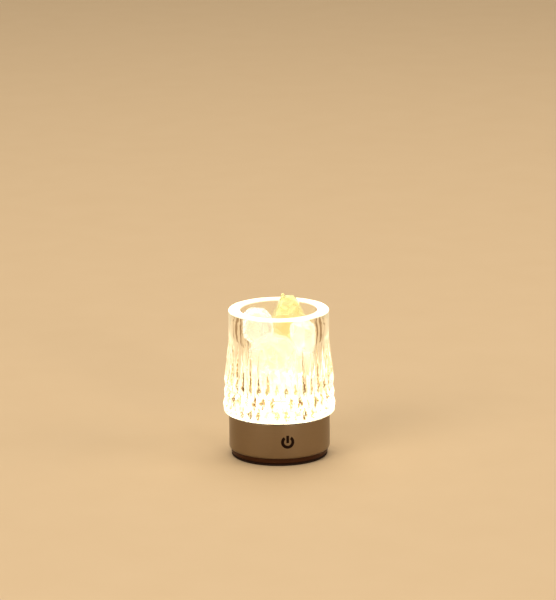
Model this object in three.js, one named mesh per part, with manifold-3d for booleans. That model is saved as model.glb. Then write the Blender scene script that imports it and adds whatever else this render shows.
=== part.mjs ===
// A battery table lamp: a cut crystal cup of rough stones on a round metal base that lights it from below.
// Millimetres, +Z up, the table top at z = 0, the printed touch spot at -Y and the charging port at +Y.
import * as THREE from 'three';
import { mergeVertices } from 'three/addons/utils/BufferGeometryUtils.js';
import Module from 'manifold-3d';

const wasm = await Module();
wasm.setup();

// Fits that all pieces share
const seatGap = 0.3;
const solderGap = 0.1;
const threadGap = 0.1;
const cutOverrun = 1;
const fuseDepth = 0.5;

// Battery cell and the space at its ends, which set the width of the base
const cellRadius = 9;
const cellLength = 65;
const cellEndSpace = 5.08;
const cellCrimpDepth = 0.5;
const cellCrimpWidth = 1.6;
const cellCapRadius = 3;
const cellCapHeight = 0.8;
const tabThickness = 0.3;
const tabWidth = 7;
const foamThickness = 1.4;
const foamLength = 34;
const foamWidth = 13;

// Metal shell of the base
const shellWall = 1.2;
const shellTop = 1.5;
const shellTopBevel = 0.5;
const shellTurnIn = 1.5;
const shellTurnHeight = 2.6;
const shellTurnShare = 0.34;
const windowLedge = 5.6;

// Foot pad and bottom cover
const padThickness = 1.8;
const padStep = 0.2;
const padBevel = 0.4;
const padRecessStep = 6;
const padRecessDepth = 0.6;
const coverStep = 0.2;
const coverBevel = 0.4;
const coverFloor = 2;
const coverBand = 4.2;
const spigotWall = 1.6;
const spigotHeight = 5;
const cradleFloor = 1;
const cradleThickness = 4;
const cradleWidth = 21;
const cradleSpacing = 40;
const cradleLip = 2;

// Cover screws, their bosses and the posts of the inner frame
const coverScrewCount = 4;
const coverScrewRadius = 1.3;
const coverScrewLength = 12;
const coverHeadRadius = 2.5;
const coverHeadHeight = 1.5;
const bossWall = 1.1;
const bossWeb = 2.2;
const postWall = 1.8;

// Inner frame, light board and light window
const deckThickness = 1.8;
const trayWall = 9.2;
const ledBoardThickness = 1.2;
const ledCount = 8;
const ledRingInset = 13;
const ledWidth = 3.5;
const ledDepth = 2.8;
const ledHeight = 0.8;
const ledAirGap = 1;
const windowFlange = 1.6;
const windowRim = 2.8;
const windowBevel = 0.3;
const smallScrewRadius = 0.9;
const smallScrewLength = 5;
const smallHeadRadius = 2;
const smallHeadHeight = 1.1;
const smallBossWall = 1.4;
const ledScrewCount = 3;
const ledScrewInset = 4;
const cableHoleRadius = 3.2;
const cableHoleInset = 5;

// Main board, charging port and what sits on the board
const boardWidth = 28;
const boardThickness = 1.6;
const boardCellClearance = 3;
const boardScrewInset = 3.6;
const portWidth = 8.9;
const portHeight = 3.2;
const portLength = 7.4;
const portWall = 0.3;
const portTongueWidth = 6.6;
const portTongueThickness = 0.7;
const portTongueBack = 1.6;
const portTongueRecess = 0.6;
const portMargin = 0.35;
const chipSize = [5, 4, 1.5];
const coilRadius = 3;
const coilHeight = 3.2;
const coilWaist = 0.7;
const coilFlange = 0.6;
const capacitorSize = [3.2, 2.4, 1.6];

// Touch board behind the printed spot, and the spring that joins it to the shell
const touchSpotHeight = 19.4;
const touchBoardWidth = 12;
const touchBoardThickness = 1;
const touchRibHeight = 3;
const touchRibWall = 1.4;
const touchChipSize = [3.4, 1.1, 3];
const springLength = 7.4;
const springRadius = 2.5;
const springWire = 0.35;
const springTurns = 5;
const springStepsPerTurn = 9;
const springWireSides = 5;

// Leads
const leadRadius = 0.6;
const leadSpacing = 3;
const leadSides = 6;
const leadSteps = 14;

// Seat ring between the shell and the cup
const ringThickness = 0.5;
const ringGap = 0.1;
const ringWidth = 4.6;
const ringInset = 1.2;

// Cut glass cup
const cupHeight = 83.4;
const cupRimOverhang = -0.25;
const cupFloor = 11.8;
const cupFootInset = 0.5;
const cupFootRecess = 1.1;
const cupFootRecessStep = 5.6;
const cupFootEdge = 2.2;
const boreWall = 9.3;
const boreTaper = 2.6;
const boreCorner = 6;
const rimOuterRound = 1.25;
const rimInnerRound = 0.9;
const cutCount = 36;
const cutDepth = 2.3;
const cutRowPitch = 9.8;
const lowRowHeight = 7;
const lowRowBulge = 4.7;
const middleRowBulge = 3.8;
const highRowBulge = 3.5;
const fluteLength = 32.7;
const cutTurn = THREE.MathUtils.degToRad(7.2);

// Rough stones in the cup. Places are shares of the bore's radius and of the cup's inner depth, with the cup
// seen from the front, and sizes are half widths and half heights as shares of the same two. Boxed is 2 on an
// egg shape and more on a squarer one. Narrowed is the share of its width that a stone loses towards its top.
// Rough is how deep the breaks go, and faces is how many there are. A shard is a splinter that stands up from
// the stone that it has grown with.
const stoneShares = [
  {
    name: 'stone_top', place: [0.26, 0.36, 0.81], half: [0.47, 0.3], lifts: true,
    boxed: 16, narrowed: 0.62, rough: 0.07, faces: 24,
    shard: {
      place: [0.11, 0.24, 0.93], half: [0.15, 0.23],
      boxed: 4, narrowed: 0.8, rough: 0.06, faces: 12,
    },
  },
  {
    name: 'stone_left', place: [-0.58, 0.16, 0.79], half: [0.43, 0.205], lifts: true,
    boxed: 2.2, narrowed: 0, rough: 0.04, faces: 46,
  },
  {
    name: 'stone_right', place: [0.65, -0.08, 0.67], half: [0.36, 0.17], lifts: true,
    boxed: 5, narrowed: 0, rough: 0.14, faces: 16,
  },
  {
    name: 'stone_middle', place: [-0.13, -0.24, 0.53], half: [0.6, 0.22],
    boxed: 2.4, narrowed: 0, rough: 0.12, faces: 30,
  },
  {
    name: 'stone_back', place: [0.1, 0.48, 0.5], half: [0.48, 0.19],
    boxed: 3, narrowed: 0, rough: 0.16, faces: 16,
  },
  {
    name: 'stone_low_right', place: [0.53, -0.08, 0.37], half: [0.44, 0.16],
    boxed: 5, narrowed: 0, rough: 0.14, faces: 16,
  },
  {
    name: 'stone_floor_left', place: [-0.44, -0.05, 0.18], half: [0.52, 0.21],
    boxed: 2.6, narrowed: 0, rough: 0.16, faces: 18,
  },
  {
    name: 'stone_floor_right', place: [0.36, -0.34, 0.14], half: [0.5, 0.18],
    boxed: 2.6, narrowed: 0, rough: 0.16, faces: 18,
  },
  {
    name: 'stone_floor_back', place: [0.08, 0.48, 0.17], half: [0.5, 0.2],
    boxed: 2.6, narrowed: 0, rough: 0.16, faces: 18,
  },
];
const stoneOutlinePoints = 300;
const stoneWallFacets = 16;
const stonesTurn = THREE.MathUtils.degToRad(-10.3);

// Shares of the pieces that carry them
const screwFaceShare = 0.7;
const screwEdgeShare = 0.4;
const leadElbowShare = 0.8;
const leadBoardShare = 0.6;
const leadEndShare = 0.4;
const leadSwingShare = 0.65;
const leadDropShare = 0.85;

// Facets round a circle
const visibleFacets = 72;
const innerFacets = 36;
const smallFacets = 12;
const roundSteps = 3;

// Places worked out from the sizes above, from the table up
const coverBottomZ = padThickness + seatGap;
const coverFloorZ = coverBottomZ + coverFloor;
const coverBandZ = coverBottomZ + coverBand;
const spigotTopZ = coverBandZ + spigotHeight;
const shellBottomZ = coverBandZ + seatGap;
const cellZ = coverFloorZ + cradleFloor + seatGap + cellRadius;
const foamZ = cellZ + cellRadius + seatGap;
const deckBottomZ = foamZ + foamThickness + seatGap;
const deckTopZ = deckBottomZ + deckThickness;
const ledBoardZ = deckTopZ + seatGap;
const ledBoardTopZ = ledBoardZ + ledBoardThickness;
const ledZ = ledBoardTopZ + solderGap;
const windowZ = ledZ + ledHeight + ledAirGap;
const windowFlangeTopZ = windowZ + windowFlange;
const shellLedgeZ = windowFlangeTopZ + seatGap;
const shellTopZ = shellLedgeZ + shellTop;
const ringZ = shellTopZ + ringGap;
const cupZ = ringZ + ringThickness + ringGap;
const cupTopZ = cupZ + cupHeight;
const boardZ = spigotTopZ + seatGap;
const boardTopZ = boardZ + boardThickness;

// Radii worked out from the sizes above, from the cell out
const shellInnerRadius = Math.hypot(cellLength / 2, cellRadius) + cellEndSpace;
const shellRadius = shellInnerRadius + shellWall;
const shellFootRadius = shellRadius - shellTurnIn;
const shellFootInnerRadius = shellFootRadius - shellWall;
const coverRadius = shellFootRadius - coverStep;
const padRadius = coverRadius - padStep;
const spigotRadius = shellFootInnerRadius - seatGap;
const spigotInnerRadius = spigotRadius - spigotWall;
const windowOpeningRadius = shellInnerRadius - windowLedge;
const windowRadius = windowOpeningRadius - seatGap;
const windowFlangeRadius = windowRadius + windowRim;
const postRadius = coverScrewRadius + threadGap + postWall;
const bossRadius = coverHeadRadius + seatGap + bossWall;
const postRingRadius = spigotInnerRadius - seatGap - postRadius;
const trayRadius = shellInnerRadius - seatGap - trayWall;
const ledBoardRadius = trayRadius - seatGap;
const ledRingRadius = ledBoardRadius - ledRingInset;
const ledScrewRingRadius = ledBoardRadius - ledScrewInset;
const cableHoleY = ledBoardRadius - cableHoleInset;
const smallBossRadius = smallScrewRadius + threadGap + smallBossWall;
const cupFootRadius = shellRadius - cupFootInset;
const cupRimRadius = shellRadius + cupRimOverhang;
const boreRadius = cupRimRadius - boreWall;
const boreFloorRadius = boreRadius - boreTaper;
const boreFloorZ = cupZ + cupFloor;

const materials = {
  shell: new THREE.MeshStandardMaterial({ color: 0x9c8468, roughness: 0.38, metalness: 1 }),
  cover: new THREE.MeshStandardMaterial({ color: 0x2a211b, roughness: 0.5, metalness: 0 }),
  pad: new THREE.MeshStandardMaterial({ color: 0x17120f, roughness: 0.9, metalness: 0 }),
  frame: new THREE.MeshStandardMaterial({ color: 0xe8e6e0, roughness: 0.6, metalness: 0 }),
  steel: new THREE.MeshStandardMaterial({ color: 0xb8b8b4, roughness: 0.35, metalness: 1 }),
  cell: new THREE.MeshStandardMaterial({ color: 0x3b6fa0, roughness: 0.45, metalness: 0 }),
  foam: new THREE.MeshStandardMaterial({ color: 0x303030, roughness: 1, metalness: 0 }),
  board: new THREE.MeshStandardMaterial({ color: 0x1f5a38, roughness: 0.55, metalness: 0 }),
  ledBoard: new THREE.MeshStandardMaterial({ color: 0xf2f2ee, roughness: 0.5, metalness: 0 }),
  led: new THREE.MeshStandardMaterial({ color: 0xf3d27a, roughness: 0.3, metalness: 0 }),
  chip: new THREE.MeshStandardMaterial({ color: 0x1b1b1b, roughness: 0.6, metalness: 0 }),
  copper: new THREE.MeshStandardMaterial({ color: 0xb06a3c, roughness: 0.4, metalness: 1 }),
  ceramic: new THREE.MeshStandardMaterial({ color: 0x9a7a54, roughness: 0.6, metalness: 0 }),
  redLead: new THREE.MeshStandardMaterial({ color: 0xa82020, roughness: 0.6, metalness: 0 }),
  blackLead: new THREE.MeshStandardMaterial({ color: 0x202020, roughness: 0.6, metalness: 0 }),
  window: new THREE.MeshStandardMaterial({ color: 0xf6f0e0, roughness: 0.7, metalness: 0 }),
  ring: new THREE.MeshStandardMaterial({ color: 0x3a322a, roughness: 0.8, metalness: 0 }),
  glass: new THREE.MeshStandardMaterial({
    color: 0xfdf8ec, roughness: 0.05, metalness: 0, transparent: true, opacity: 0.4,
  }),
  stone: new THREE.MeshStandardMaterial({ color: 0xf6f1cf, roughness: 0.5, metalness: 0 }),
};

// Turns a shape's faces outwards where its winding runs the other way
function facingOut(geometry) {
  const bare = geometry.index ? geometry.toNonIndexed() : geometry.clone();
  const place = bare.getAttribute('position');
  const [a, b, c] = [new THREE.Vector3(), new THREE.Vector3(), new THREE.Vector3()];
  let sixVolumes = 0;
  for (let corner = 0; corner < place.count; corner += 3) {
    a.fromBufferAttribute(place, corner);
    b.fromBufferAttribute(place, corner + 1);
    c.fromBufferAttribute(place, corner + 2);
    sixVolumes += a.dot(b.cross(c));
  }
  if (sixVolumes > 0) return bare;
  const turned = new THREE.BufferGeometry();
  const places = [];
  for (let corner = 0; corner < place.count; corner += 3) {
    for (const step of [0, 2, 1]) {
      a.fromBufferAttribute(place, corner + step);
      places.push(a.x, a.y, a.z);
    }
  }
  turned.setAttribute('position', new THREE.Float32BufferAttribute(places, 3));
  return turned;
}

// Hands a closed shape over for cutting and joining
function solid(geometry) {
  const bare = facingOut(geometry);
  bare.deleteAttribute('normal');
  bare.deleteAttribute('uv');
  const merged = mergeVertices(bare);
  const kept = [];
  const index = merged.index.array;
  for (let corner = 0; corner < index.length; corner += 3) {
    const [a, b, c] = [index[corner], index[corner + 1], index[corner + 2]];
    if (a !== b && b !== c && c !== a) kept.push(a, b, c);
  }
  return new wasm.Manifold(new wasm.Mesh({
    numProp: 3,
    vertProperties: new Float32Array(merged.getAttribute('position').array),
    triVerts: new Uint32Array(kept),
  }));
}

// Takes a cut or joined solid back as a shape
function shapeOf(cut) {
  const result = cut.getMesh();
  const geometry = new THREE.BufferGeometry();
  const places = new Float32Array(result.triVerts.length * 3);
  result.triVerts.forEach((vertex, corner) => {
    for (let axis = 0; axis < 3; axis += 1) {
      places[corner * 3 + axis] = result.vertProperties[vertex * result.numProp + axis];
    }
  });
  geometry.setAttribute('position', new THREE.BufferAttribute(places, 3));
  return geometry;
}

// Turns a closed outline of [radius, height] points round the lamp's axis
function revolve(outline, facets) {
  const points = outline.map(([radius, height]) => new THREE.Vector2(radius, height));
  const geometry = new THREE.LatheGeometry(points, facets);
  geometry.rotateX(Math.PI / 2);
  return geometry;
}

// Points of a round corner in an outline, from one angle to another in quarter turns
function corner(radius, height, round, fromQuarter, toQuarter) {
  const points = [];
  for (let step = 0; step <= roundSteps; step += 1) {
    const angle = (Math.PI / 2) * (fromQuarter + ((toQuarter - fromQuarter) * step) / roundSteps);
    points.push([radius + round * Math.cos(angle), height + round * Math.sin(angle)]);
  }
  return points;
}

// An upright round bar between two heights
function bar(radius, bottomZ, topZ, x, y, facets = smallFacets) {
  const geometry = new THREE.CylinderGeometry(radius, radius, topZ - bottomZ, facets);
  geometry.rotateX(Math.PI / 2);
  geometry.translate(x, y, (bottomZ + topZ) / 2);
  return geometry;
}

// A block between two heights, centred at x, y
function block(width, depth, bottomZ, topZ, x, y) {
  const geometry = new THREE.BoxGeometry(width, depth, topZ - bottomZ);
  geometry.translate(x, y, (bottomZ + topZ) / 2);
  return geometry;
}

// The places of a ring of equal pieces, each with its angle
function ringOfPlaces(count, radius, startAngle) {
  return Array.from({ length: count }, (unused, number) => {
    const angle = startAngle + (number * 2 * Math.PI) / count;
    return { x: radius * Math.cos(angle), y: radius * Math.sin(angle), angle };
  });
}

const coverScrewPlaces = ringOfPlaces(coverScrewCount, postRingRadius, Math.PI / 4);
const ledScrewPlaces = ringOfPlaces(ledScrewCount, ledScrewRingRadius, Math.PI / 6);

function piece(name, geometry, material) {
  const mesh = new THREE.Mesh(facingOut(geometry), material.clone());
  mesh.geometry.computeVertexNormals();
  mesh.name = name;
  return mesh;
}

// Foot pad: a rubber disc stuck under the cover, hollowed a little so that it stands on its edge
function footPad() {
  const recessRadius = padRadius - padRecessStep;
  return revolve([
    [0, padRecessDepth],
    [recessRadius, padRecessDepth],
    [recessRadius, 0],
    [padRadius - padBevel, 0],
    [padRadius, padBevel],
    [padRadius, padThickness],
    [0, padThickness],
  ], visibleFacets);
}

// Bottom cover: a black moulding with a spigot, screw bosses, a cradle for the cell and board supports
function bottomCover() {
  let cover = solid(revolve([
    [0, coverBottomZ],
    [coverRadius - coverBevel, coverBottomZ],
    [coverRadius, coverBottomZ + coverBevel],
    [coverRadius, coverBandZ],
    [spigotRadius, coverBandZ],
    [spigotRadius, spigotTopZ],
    [spigotInnerRadius, spigotTopZ],
    [spigotInnerRadius, coverFloorZ],
    [0, coverFloorZ],
  ], visibleFacets));
  for (const side of [-1, 1]) {
    const x = (side * cradleSpacing) / 2;
    const top = cellZ - cradleLip;
    cover = cover.add(solid(block(cradleThickness, cradleWidth, coverFloorZ - fuseDepth, top, x, 0)));
  }
  const cellSpace = new THREE.CylinderGeometry(
    cellRadius + seatGap, cellRadius + seatGap, cellLength + 2 * cutOverrun, innerFacets,
  );
  cellSpace.rotateZ(Math.PI / 2);
  cellSpace.translate(0, 0, cellZ);
  cover = cover.subtract(solid(cellSpace));
  for (const { x, y } of boardScrewPlaces()) {
    cover = cover.add(solid(bar(smallBossRadius, coverFloorZ - fuseDepth, boardZ - seatGap, x, y)));
    const pilot = smallScrewRadius + threadGap;
    cover = cover.subtract(solid(bar(pilot, coverFloorZ, boardZ + cutOverrun, x, y)));
  }
  const ribDepth = touchBoardThickness + 2 * (seatGap + touchRibWall);
  const ribWidth = touchBoardWidth + 2 * touchRibWall;
  const ribTop = coverFloorZ + touchRibHeight;
  const touchY = touchBoardY();
  cover = cover.add(solid(block(ribWidth, ribDepth, coverFloorZ - fuseDepth, ribTop, 0, touchY)));
  cover = cover.subtract(solid(block(
    touchBoardWidth + 2 * seatGap,
    touchBoardThickness + 2 * seatGap,
    coverFloorZ,
    ribTop + cutOverrun,
    0,
    touchY,
  )));
  const ceiling = coverBottomZ + coverHeadHeight + seatGap;
  for (const { x, y } of coverScrewPlaces) {
    cover = cover.add(solid(bar(bossRadius, coverBottomZ, ceiling + bossWeb, x, y)));
    const headSpace = bar(coverHeadRadius + seatGap, coverBottomZ - cutOverrun, ceiling, x, y);
    const shankSpace = bar(coverScrewRadius + seatGap, coverBottomZ, ceiling + bossWeb + cutOverrun, x, y);
    cover = cover.subtract(solid(headSpace)).subtract(solid(shankSpace));
  }
  return shapeOf(cover);
}

// Base shell: spun and turned metal, open below, with a ledge round the light window and a port slot
function baseShell() {
  const bottom = shellBottomZ;
  const turnTop = bottom + shellTurnHeight;
  let shell = solid(revolve([
    [shellFootRadius, bottom],
    [shellRadius - shellTurnIn * shellTurnShare, bottom + shellTurnHeight * shellTurnShare],
    [shellRadius, turnTop],
    [shellRadius, shellTopZ - shellTopBevel],
    [shellRadius - shellTopBevel, shellTopZ],
    [windowOpeningRadius, shellTopZ],
    [windowOpeningRadius, shellLedgeZ],
    [shellInnerRadius, shellLedgeZ],
    [shellInnerRadius, turnTop],
    [shellInnerRadius - shellTurnIn * shellTurnShare, bottom + shellTurnHeight * shellTurnShare],
    [shellFootInnerRadius, bottom],
    [shellFootRadius, bottom],
  ], visibleFacets));
  const slotLength = 2 * shellWall + cutOverrun;
  const slot = roundedBar(portWidth + 2 * portMargin, portHeight + 2 * portMargin, slotLength);
  slot.translate(0, shellInnerRadius - shellWall, portZ());
  shell = shell.subtract(solid(slot));
  return shapeOf(shell);
}

// Inner frame: a white moulded tray that holds the light board, on posts that stand on the cover's bosses
function innerFrame() {
  const rimTop = windowZ - seatGap;
  const rimRadius = trayRadius + trayWall;
  let frame = solid(revolve([
    [0, deckBottomZ],
    [rimRadius, deckBottomZ],
    [rimRadius, rimTop],
    [trayRadius, rimTop],
    [trayRadius, deckTopZ],
    [0, deckTopZ],
  ], innerFacets));
  const postBottom = coverBottomZ + coverHeadHeight + seatGap + bossWeb + seatGap;
  const screwEnd = coverBottomZ + coverHeadHeight + coverScrewLength;
  for (const { x, y } of coverScrewPlaces) {
    frame = frame.add(solid(bar(postRadius, postBottom, deckBottomZ + fuseDepth, x, y)));
    const pilot = bar(coverScrewRadius + threadGap, postBottom - cutOverrun, screwEnd + seatGap, x, y);
    frame = frame.subtract(solid(pilot));
  }
  const bossBottom = ledBoardTopZ - smallScrewLength - seatGap;
  for (const { x, y } of ledScrewPlaces) {
    frame = frame.add(solid(bar(smallBossRadius, bossBottom, deckBottomZ + fuseDepth, x, y)));
    const pilot = bar(smallScrewRadius + threadGap, bossBottom - cutOverrun, deckTopZ + cutOverrun, x, y);
    frame = frame.subtract(solid(pilot));
  }
  const cableHole = bar(cableHoleRadius, deckBottomZ - cutOverrun, deckTopZ + cutOverrun, 0, cableHoleY);
  return shapeOf(frame.subtract(solid(cableHole)));
}

// A pan-head screw with its head down: the shank points up from the seat of the head
function screw(headRadius, headHeight, shankRadius, shankLength) {
  const outline = [
    [0, -headHeight],
    [headRadius * screwFaceShare, -headHeight],
    [headRadius, -headHeight * screwEdgeShare],
    [headRadius, 0],
    [shankRadius, 0],
    [shankRadius, shankLength - shankRadius],
    [0, shankLength],
  ];
  return revolve(outline, smallFacets);
}

// Battery cell: a steel can in a sleeve, with a crimp groove and a raised cap at its plus end
function batteryCell() {
  const half = cellLength / 2;
  const crimpX = half - 2 * cellCrimpWidth;
  const canEnd = half - cellCapHeight;
  const cell = revolve([
    [0, -half],
    [cellRadius - cellCrimpDepth, -half],
    [cellRadius, cellCrimpDepth - half],
    [cellRadius, crimpX],
    [cellRadius - cellCrimpDepth, crimpX + cellCrimpWidth / 2],
    [cellRadius, crimpX + cellCrimpWidth],
    [cellRadius - cellCrimpDepth, canEnd],
    [cellCapRadius, canEnd],
    [cellCapRadius, half],
    [0, half],
  ], innerFacets);
  cell.rotateY(Math.PI / 2);
  cell.translate(0, 0, cellZ);
  return cell;
}

// A slim rounded bar along Y, as wide as it is stated and round at both ends
function roundedOutline(width, height) {
  const round = height / 2;
  const flat = width / 2 - round;
  const outline = new THREE.Shape();
  outline.moveTo(-flat, -round);
  outline.lineTo(flat, -round);
  outline.absarc(flat, 0, round, -Math.PI / 2, Math.PI / 2, false);
  outline.lineTo(-flat, round);
  outline.absarc(-flat, 0, round, Math.PI / 2, (3 * Math.PI) / 2, false);
  return outline;
}

function roundedBar(width, height, length, hollow) {
  const outline = roundedOutline(width, height);
  if (hollow) outline.holes.push(roundedOutline(width - 2 * hollow, height - 2 * hollow));
  const geometry = new THREE.ExtrudeGeometry(outline, {
    depth: length, bevelEnabled: false, curveSegments: 2 * roundSteps,
  });
  geometry.rotateX(-Math.PI / 2);
  return geometry;
}

function portZ() {
  return boardTopZ + solderGap + portHeight / 2;
}

// Where the port's mouth ends, just inside the shell at the port's own half width
function portMouthY() {
  return Math.sqrt(shellInnerRadius ** 2 - (portWidth / 2) ** 2) - seatGap;
}

function boardEdgeY() {
  return Math.sqrt((shellInnerRadius - seatGap) ** 2 - (boardWidth / 2) ** 2) - seatGap;
}

function boardScrewPlaces() {
  const y = cellRadius + boardCellClearance + boardScrewInset;
  const x = boardWidth / 2 - boardScrewInset;
  return [{ x: -x, y }, { x, y }];
}

function touchBoardY() {
  return -(shellInnerRadius - seatGap - springLength - touchBoardThickness / 2);
}

// Charging port: a pressed metal shell, open to the back, with a plastic tongue inside
function portShell() {
  const geometry = roundedBar(portWidth, portHeight, portLength, portWall);
  geometry.translate(0, portMouthY() - portLength, portZ());
  return geometry;
}

function portTongue() {
  const backY = portMouthY() - portLength;
  const blockWidth = portWidth - 2 * (portWall + seatGap);
  const blockHeight = portHeight - 2 * (portWall + seatGap);
  const backBlock = roundedBar(blockWidth, blockHeight, portTongueBack);
  backBlock.translate(0, backY, portZ());
  const reach = portLength - portTongueRecess;
  const tongue = new THREE.BoxGeometry(portTongueWidth, reach, portTongueThickness);
  tongue.translate(0, backY + reach / 2, portZ());
  return shapeOf(solid(backBlock).add(solid(tongue)));
}

// Main board: its far corners follow the shell, and its near edge keeps clear of the cell
function mainBoard() {
  const nearY = cellRadius + boardCellClearance;
  const length = boardEdgeY() - nearY;
  let board = solid(block(boardWidth, length, boardZ, boardTopZ, 0, nearY + length / 2));
  for (const { x, y } of boardScrewPlaces()) {
    const hole = bar(smallScrewRadius + seatGap, boardZ - cutOverrun, boardTopZ + cutOverrun, x, y);
    board = board.subtract(solid(hole));
  }
  return shapeOf(board);
}

// A power coil: wire wound on a drum with two flanges
function powerCoil(x, y) {
  const bottom = boardTopZ + solderGap;
  const coil = revolve([
    [0, 0],
    [coilRadius, 0],
    [coilRadius, coilFlange],
    [coilRadius - coilWaist, coilFlange],
    [coilRadius - coilWaist, coilHeight - coilFlange],
    [coilRadius, coilHeight - coilFlange],
    [coilRadius, coilHeight],
    [0, coilHeight],
  ], smallFacets);
  coil.translate(x, y, bottom);
  return coil;
}

function partOnBoard([width, depth, height], x, y) {
  const bottom = boardTopZ + solderGap;
  return block(width, depth, bottom, bottom + height, x, y);
}

// Touch board: it stands in a slot of the cover and reaches up to the deck
function touchBoard() {
  const bottom = coverFloorZ + seatGap;
  return block(touchBoardWidth, touchBoardThickness, bottom, deckBottomZ - seatGap, 0, touchBoardY());
}

// A round wire swept along a curve
function sweep(curve, steps, radius, sides) {
  const section = new THREE.Shape();
  for (let side = 0; side < sides; side += 1) {
    const angle = (side * 2 * Math.PI) / sides;
    const point = [radius * Math.cos(angle), radius * Math.sin(angle)];
    if (side === 0) section.moveTo(...point);
    else section.lineTo(...point);
  }
  return new THREE.ExtrudeGeometry(section, { steps, extrudePath: curve, bevelEnabled: false });
}

class SpringCurve extends THREE.Curve {
  getPoint(share, target = new THREE.Vector3()) {
    const angle = share * springTurns * 2 * Math.PI;
    const run = springLength - 2 * (springWire + solderGap);
    const startY = touchBoardY() - touchBoardThickness / 2 - springWire - solderGap;
    return target.set(
      springRadius * Math.cos(angle),
      startY - share * run,
      touchSpotHeight + springRadius * Math.sin(angle),
    );
  }
}

// The least gap between the spring's turns, measured on points of its centre line
function leastGapBetweenTurns(curve, turns, stepsPerTurn, wireRadius) {
  const points = curve.getPoints(turns * stepsPerTurn);
  let least = Infinity;
  points.forEach((point, first) => {
    for (let second = first + Math.ceil(stepsPerTurn / 2); second < points.length; second += 1) {
      least = Math.min(least, point.distanceTo(points[second]));
    }
  });
  return least - 2 * wireRadius;
}

function touchSpring() {
  const curve = new SpringCurve();
  const gap = leastGapBetweenTurns(curve, springTurns, springStepsPerTurn, springWire);
  console.log(`touch spring, least gap between its turns: ${gap.toFixed(2)} mm`);
  return sweep(curve, springTurns * springStepsPerTurn, springWire, springWireSides);
}

function lead(points) {
  const curve = new THREE.CatmullRomCurve3(points.map((point) => new THREE.Vector3(...point)));
  return sweep(curve, leadSteps, leadRadius, leadSides);
}

// Cell leads: from a tab at the cell's end, round to the near edge of the main board
function cellLead(side) {
  const endX = cellLength / 2 + tabThickness + leadRadius + 2 * solderGap;
  const boardY = cellRadius + boardCellClearance + leadRadius + seatGap;
  const boardHeight = boardTopZ + leadRadius + solderGap;
  return lead([
    [side * endX, tabWidth / 3, cellZ],
    [side * endX, cellRadius, cellZ + leadRadius],
    [side * (cellLength / 2) * leadElbowShare, boardY, cellZ + leadRadius],
    [side * (boardWidth / 2) * leadBoardShare, boardY, boardHeight + leadRadius],
    [side * (boardWidth / 2) * leadEndShare, boardY, boardHeight],
  ]);
}

// Light leads: up from the main board, through the deck and the light board, to the top of the light board
function lightLead(side) {
  const x = (side * leadSpacing) / 2;
  const startY = cableHoleY + leadRadius;
  const overBoard = ledBoardTopZ + leadRadius + solderGap;
  return lead([
    [x, startY, boardTopZ + seatGap],
    [x, startY, (boardTopZ + deckBottomZ) / 2],
    [x, startY, deckTopZ],
    [x, cableHoleY - cableHoleRadius / 2, overBoard],
    [x, cableHoleY - cableHoleRadius - 2 * leadRadius, overBoard],
  ]);
}

// Touch lead: from the touch board, over the end of the cell and over a board screw to the main board
function touchLead() {
  const frontY = touchBoardY() + touchBoardThickness / 2 + leadRadius + solderGap;
  const endX = cellLength / 2 + cellEndSpace / 2;
  const height = (cellZ + deckBottomZ) / 2;
  const boardY = cellRadius + boardCellClearance + boardScrewInset;
  const overScrew = boardTopZ + smallHeadHeight + 3 * leadRadius;
  return lead([
    [touchBoardWidth / 3, frontY, height],
    [touchBoardWidth, frontY * leadSwingShare, height],
    [cellLength / 2, -cellRadius - 2 * leadRadius, height],
    [endX, 0, height],
    [cellLength / 2, cellRadius + 2 * leadRadius, height],
    [boardWidth / 2, boardY, height * leadDropShare],
    [(boardWidth / 2) * leadBoardShare, boardY, overScrew],
    [(boardWidth / 2) * leadEndShare, boardY, boardTopZ + leadRadius + solderGap],
  ]);
}

// Light board: a round aluminium-backed board with holes for its screws and for its leads
function ledBoard() {
  let board = solid(revolve([
    [0, ledBoardZ],
    [ledBoardRadius, ledBoardZ],
    [ledBoardRadius, ledBoardTopZ],
    [0, ledBoardTopZ],
  ], innerFacets));
  const low = ledBoardZ - cutOverrun;
  const high = ledBoardTopZ + cutOverrun;
  for (const { x, y } of ledScrewPlaces) {
    board = board.subtract(solid(bar(smallScrewRadius + seatGap, low, high, x, y)));
  }
  return shapeOf(board.subtract(solid(bar(cableHoleRadius, low, high, 0, cableHoleY))));
}

function ledPiece(place) {
  const chip = new THREE.BoxGeometry(ledWidth, ledDepth, ledHeight);
  chip.rotateZ(place.angle);
  chip.translate(place.x, place.y, ledZ + ledHeight / 2);
  return chip;
}

// Light window: a frosted disc flush with the shell's top, held under the ledge by its flange
function lightWindow() {
  return revolve([
    [0, windowZ],
    [windowFlangeRadius, windowZ],
    [windowFlangeRadius, windowFlangeTopZ],
    [windowRadius, windowFlangeTopZ],
    [windowRadius, shellTopZ - windowBevel],
    [windowRadius - windowBevel, shellTopZ],
    [0, shellTopZ],
  ], innerFacets);
}

function seatRing() {
  const outer = shellRadius - ringInset;
  return revolve([
    [outer - ringWidth, ringZ],
    [outer, ringZ],
    [outer, ringZ + ringThickness],
    [outer - ringWidth, ringZ + ringThickness],
    [outer - ringWidth, ringZ],
  ], visibleFacets);
}

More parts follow.
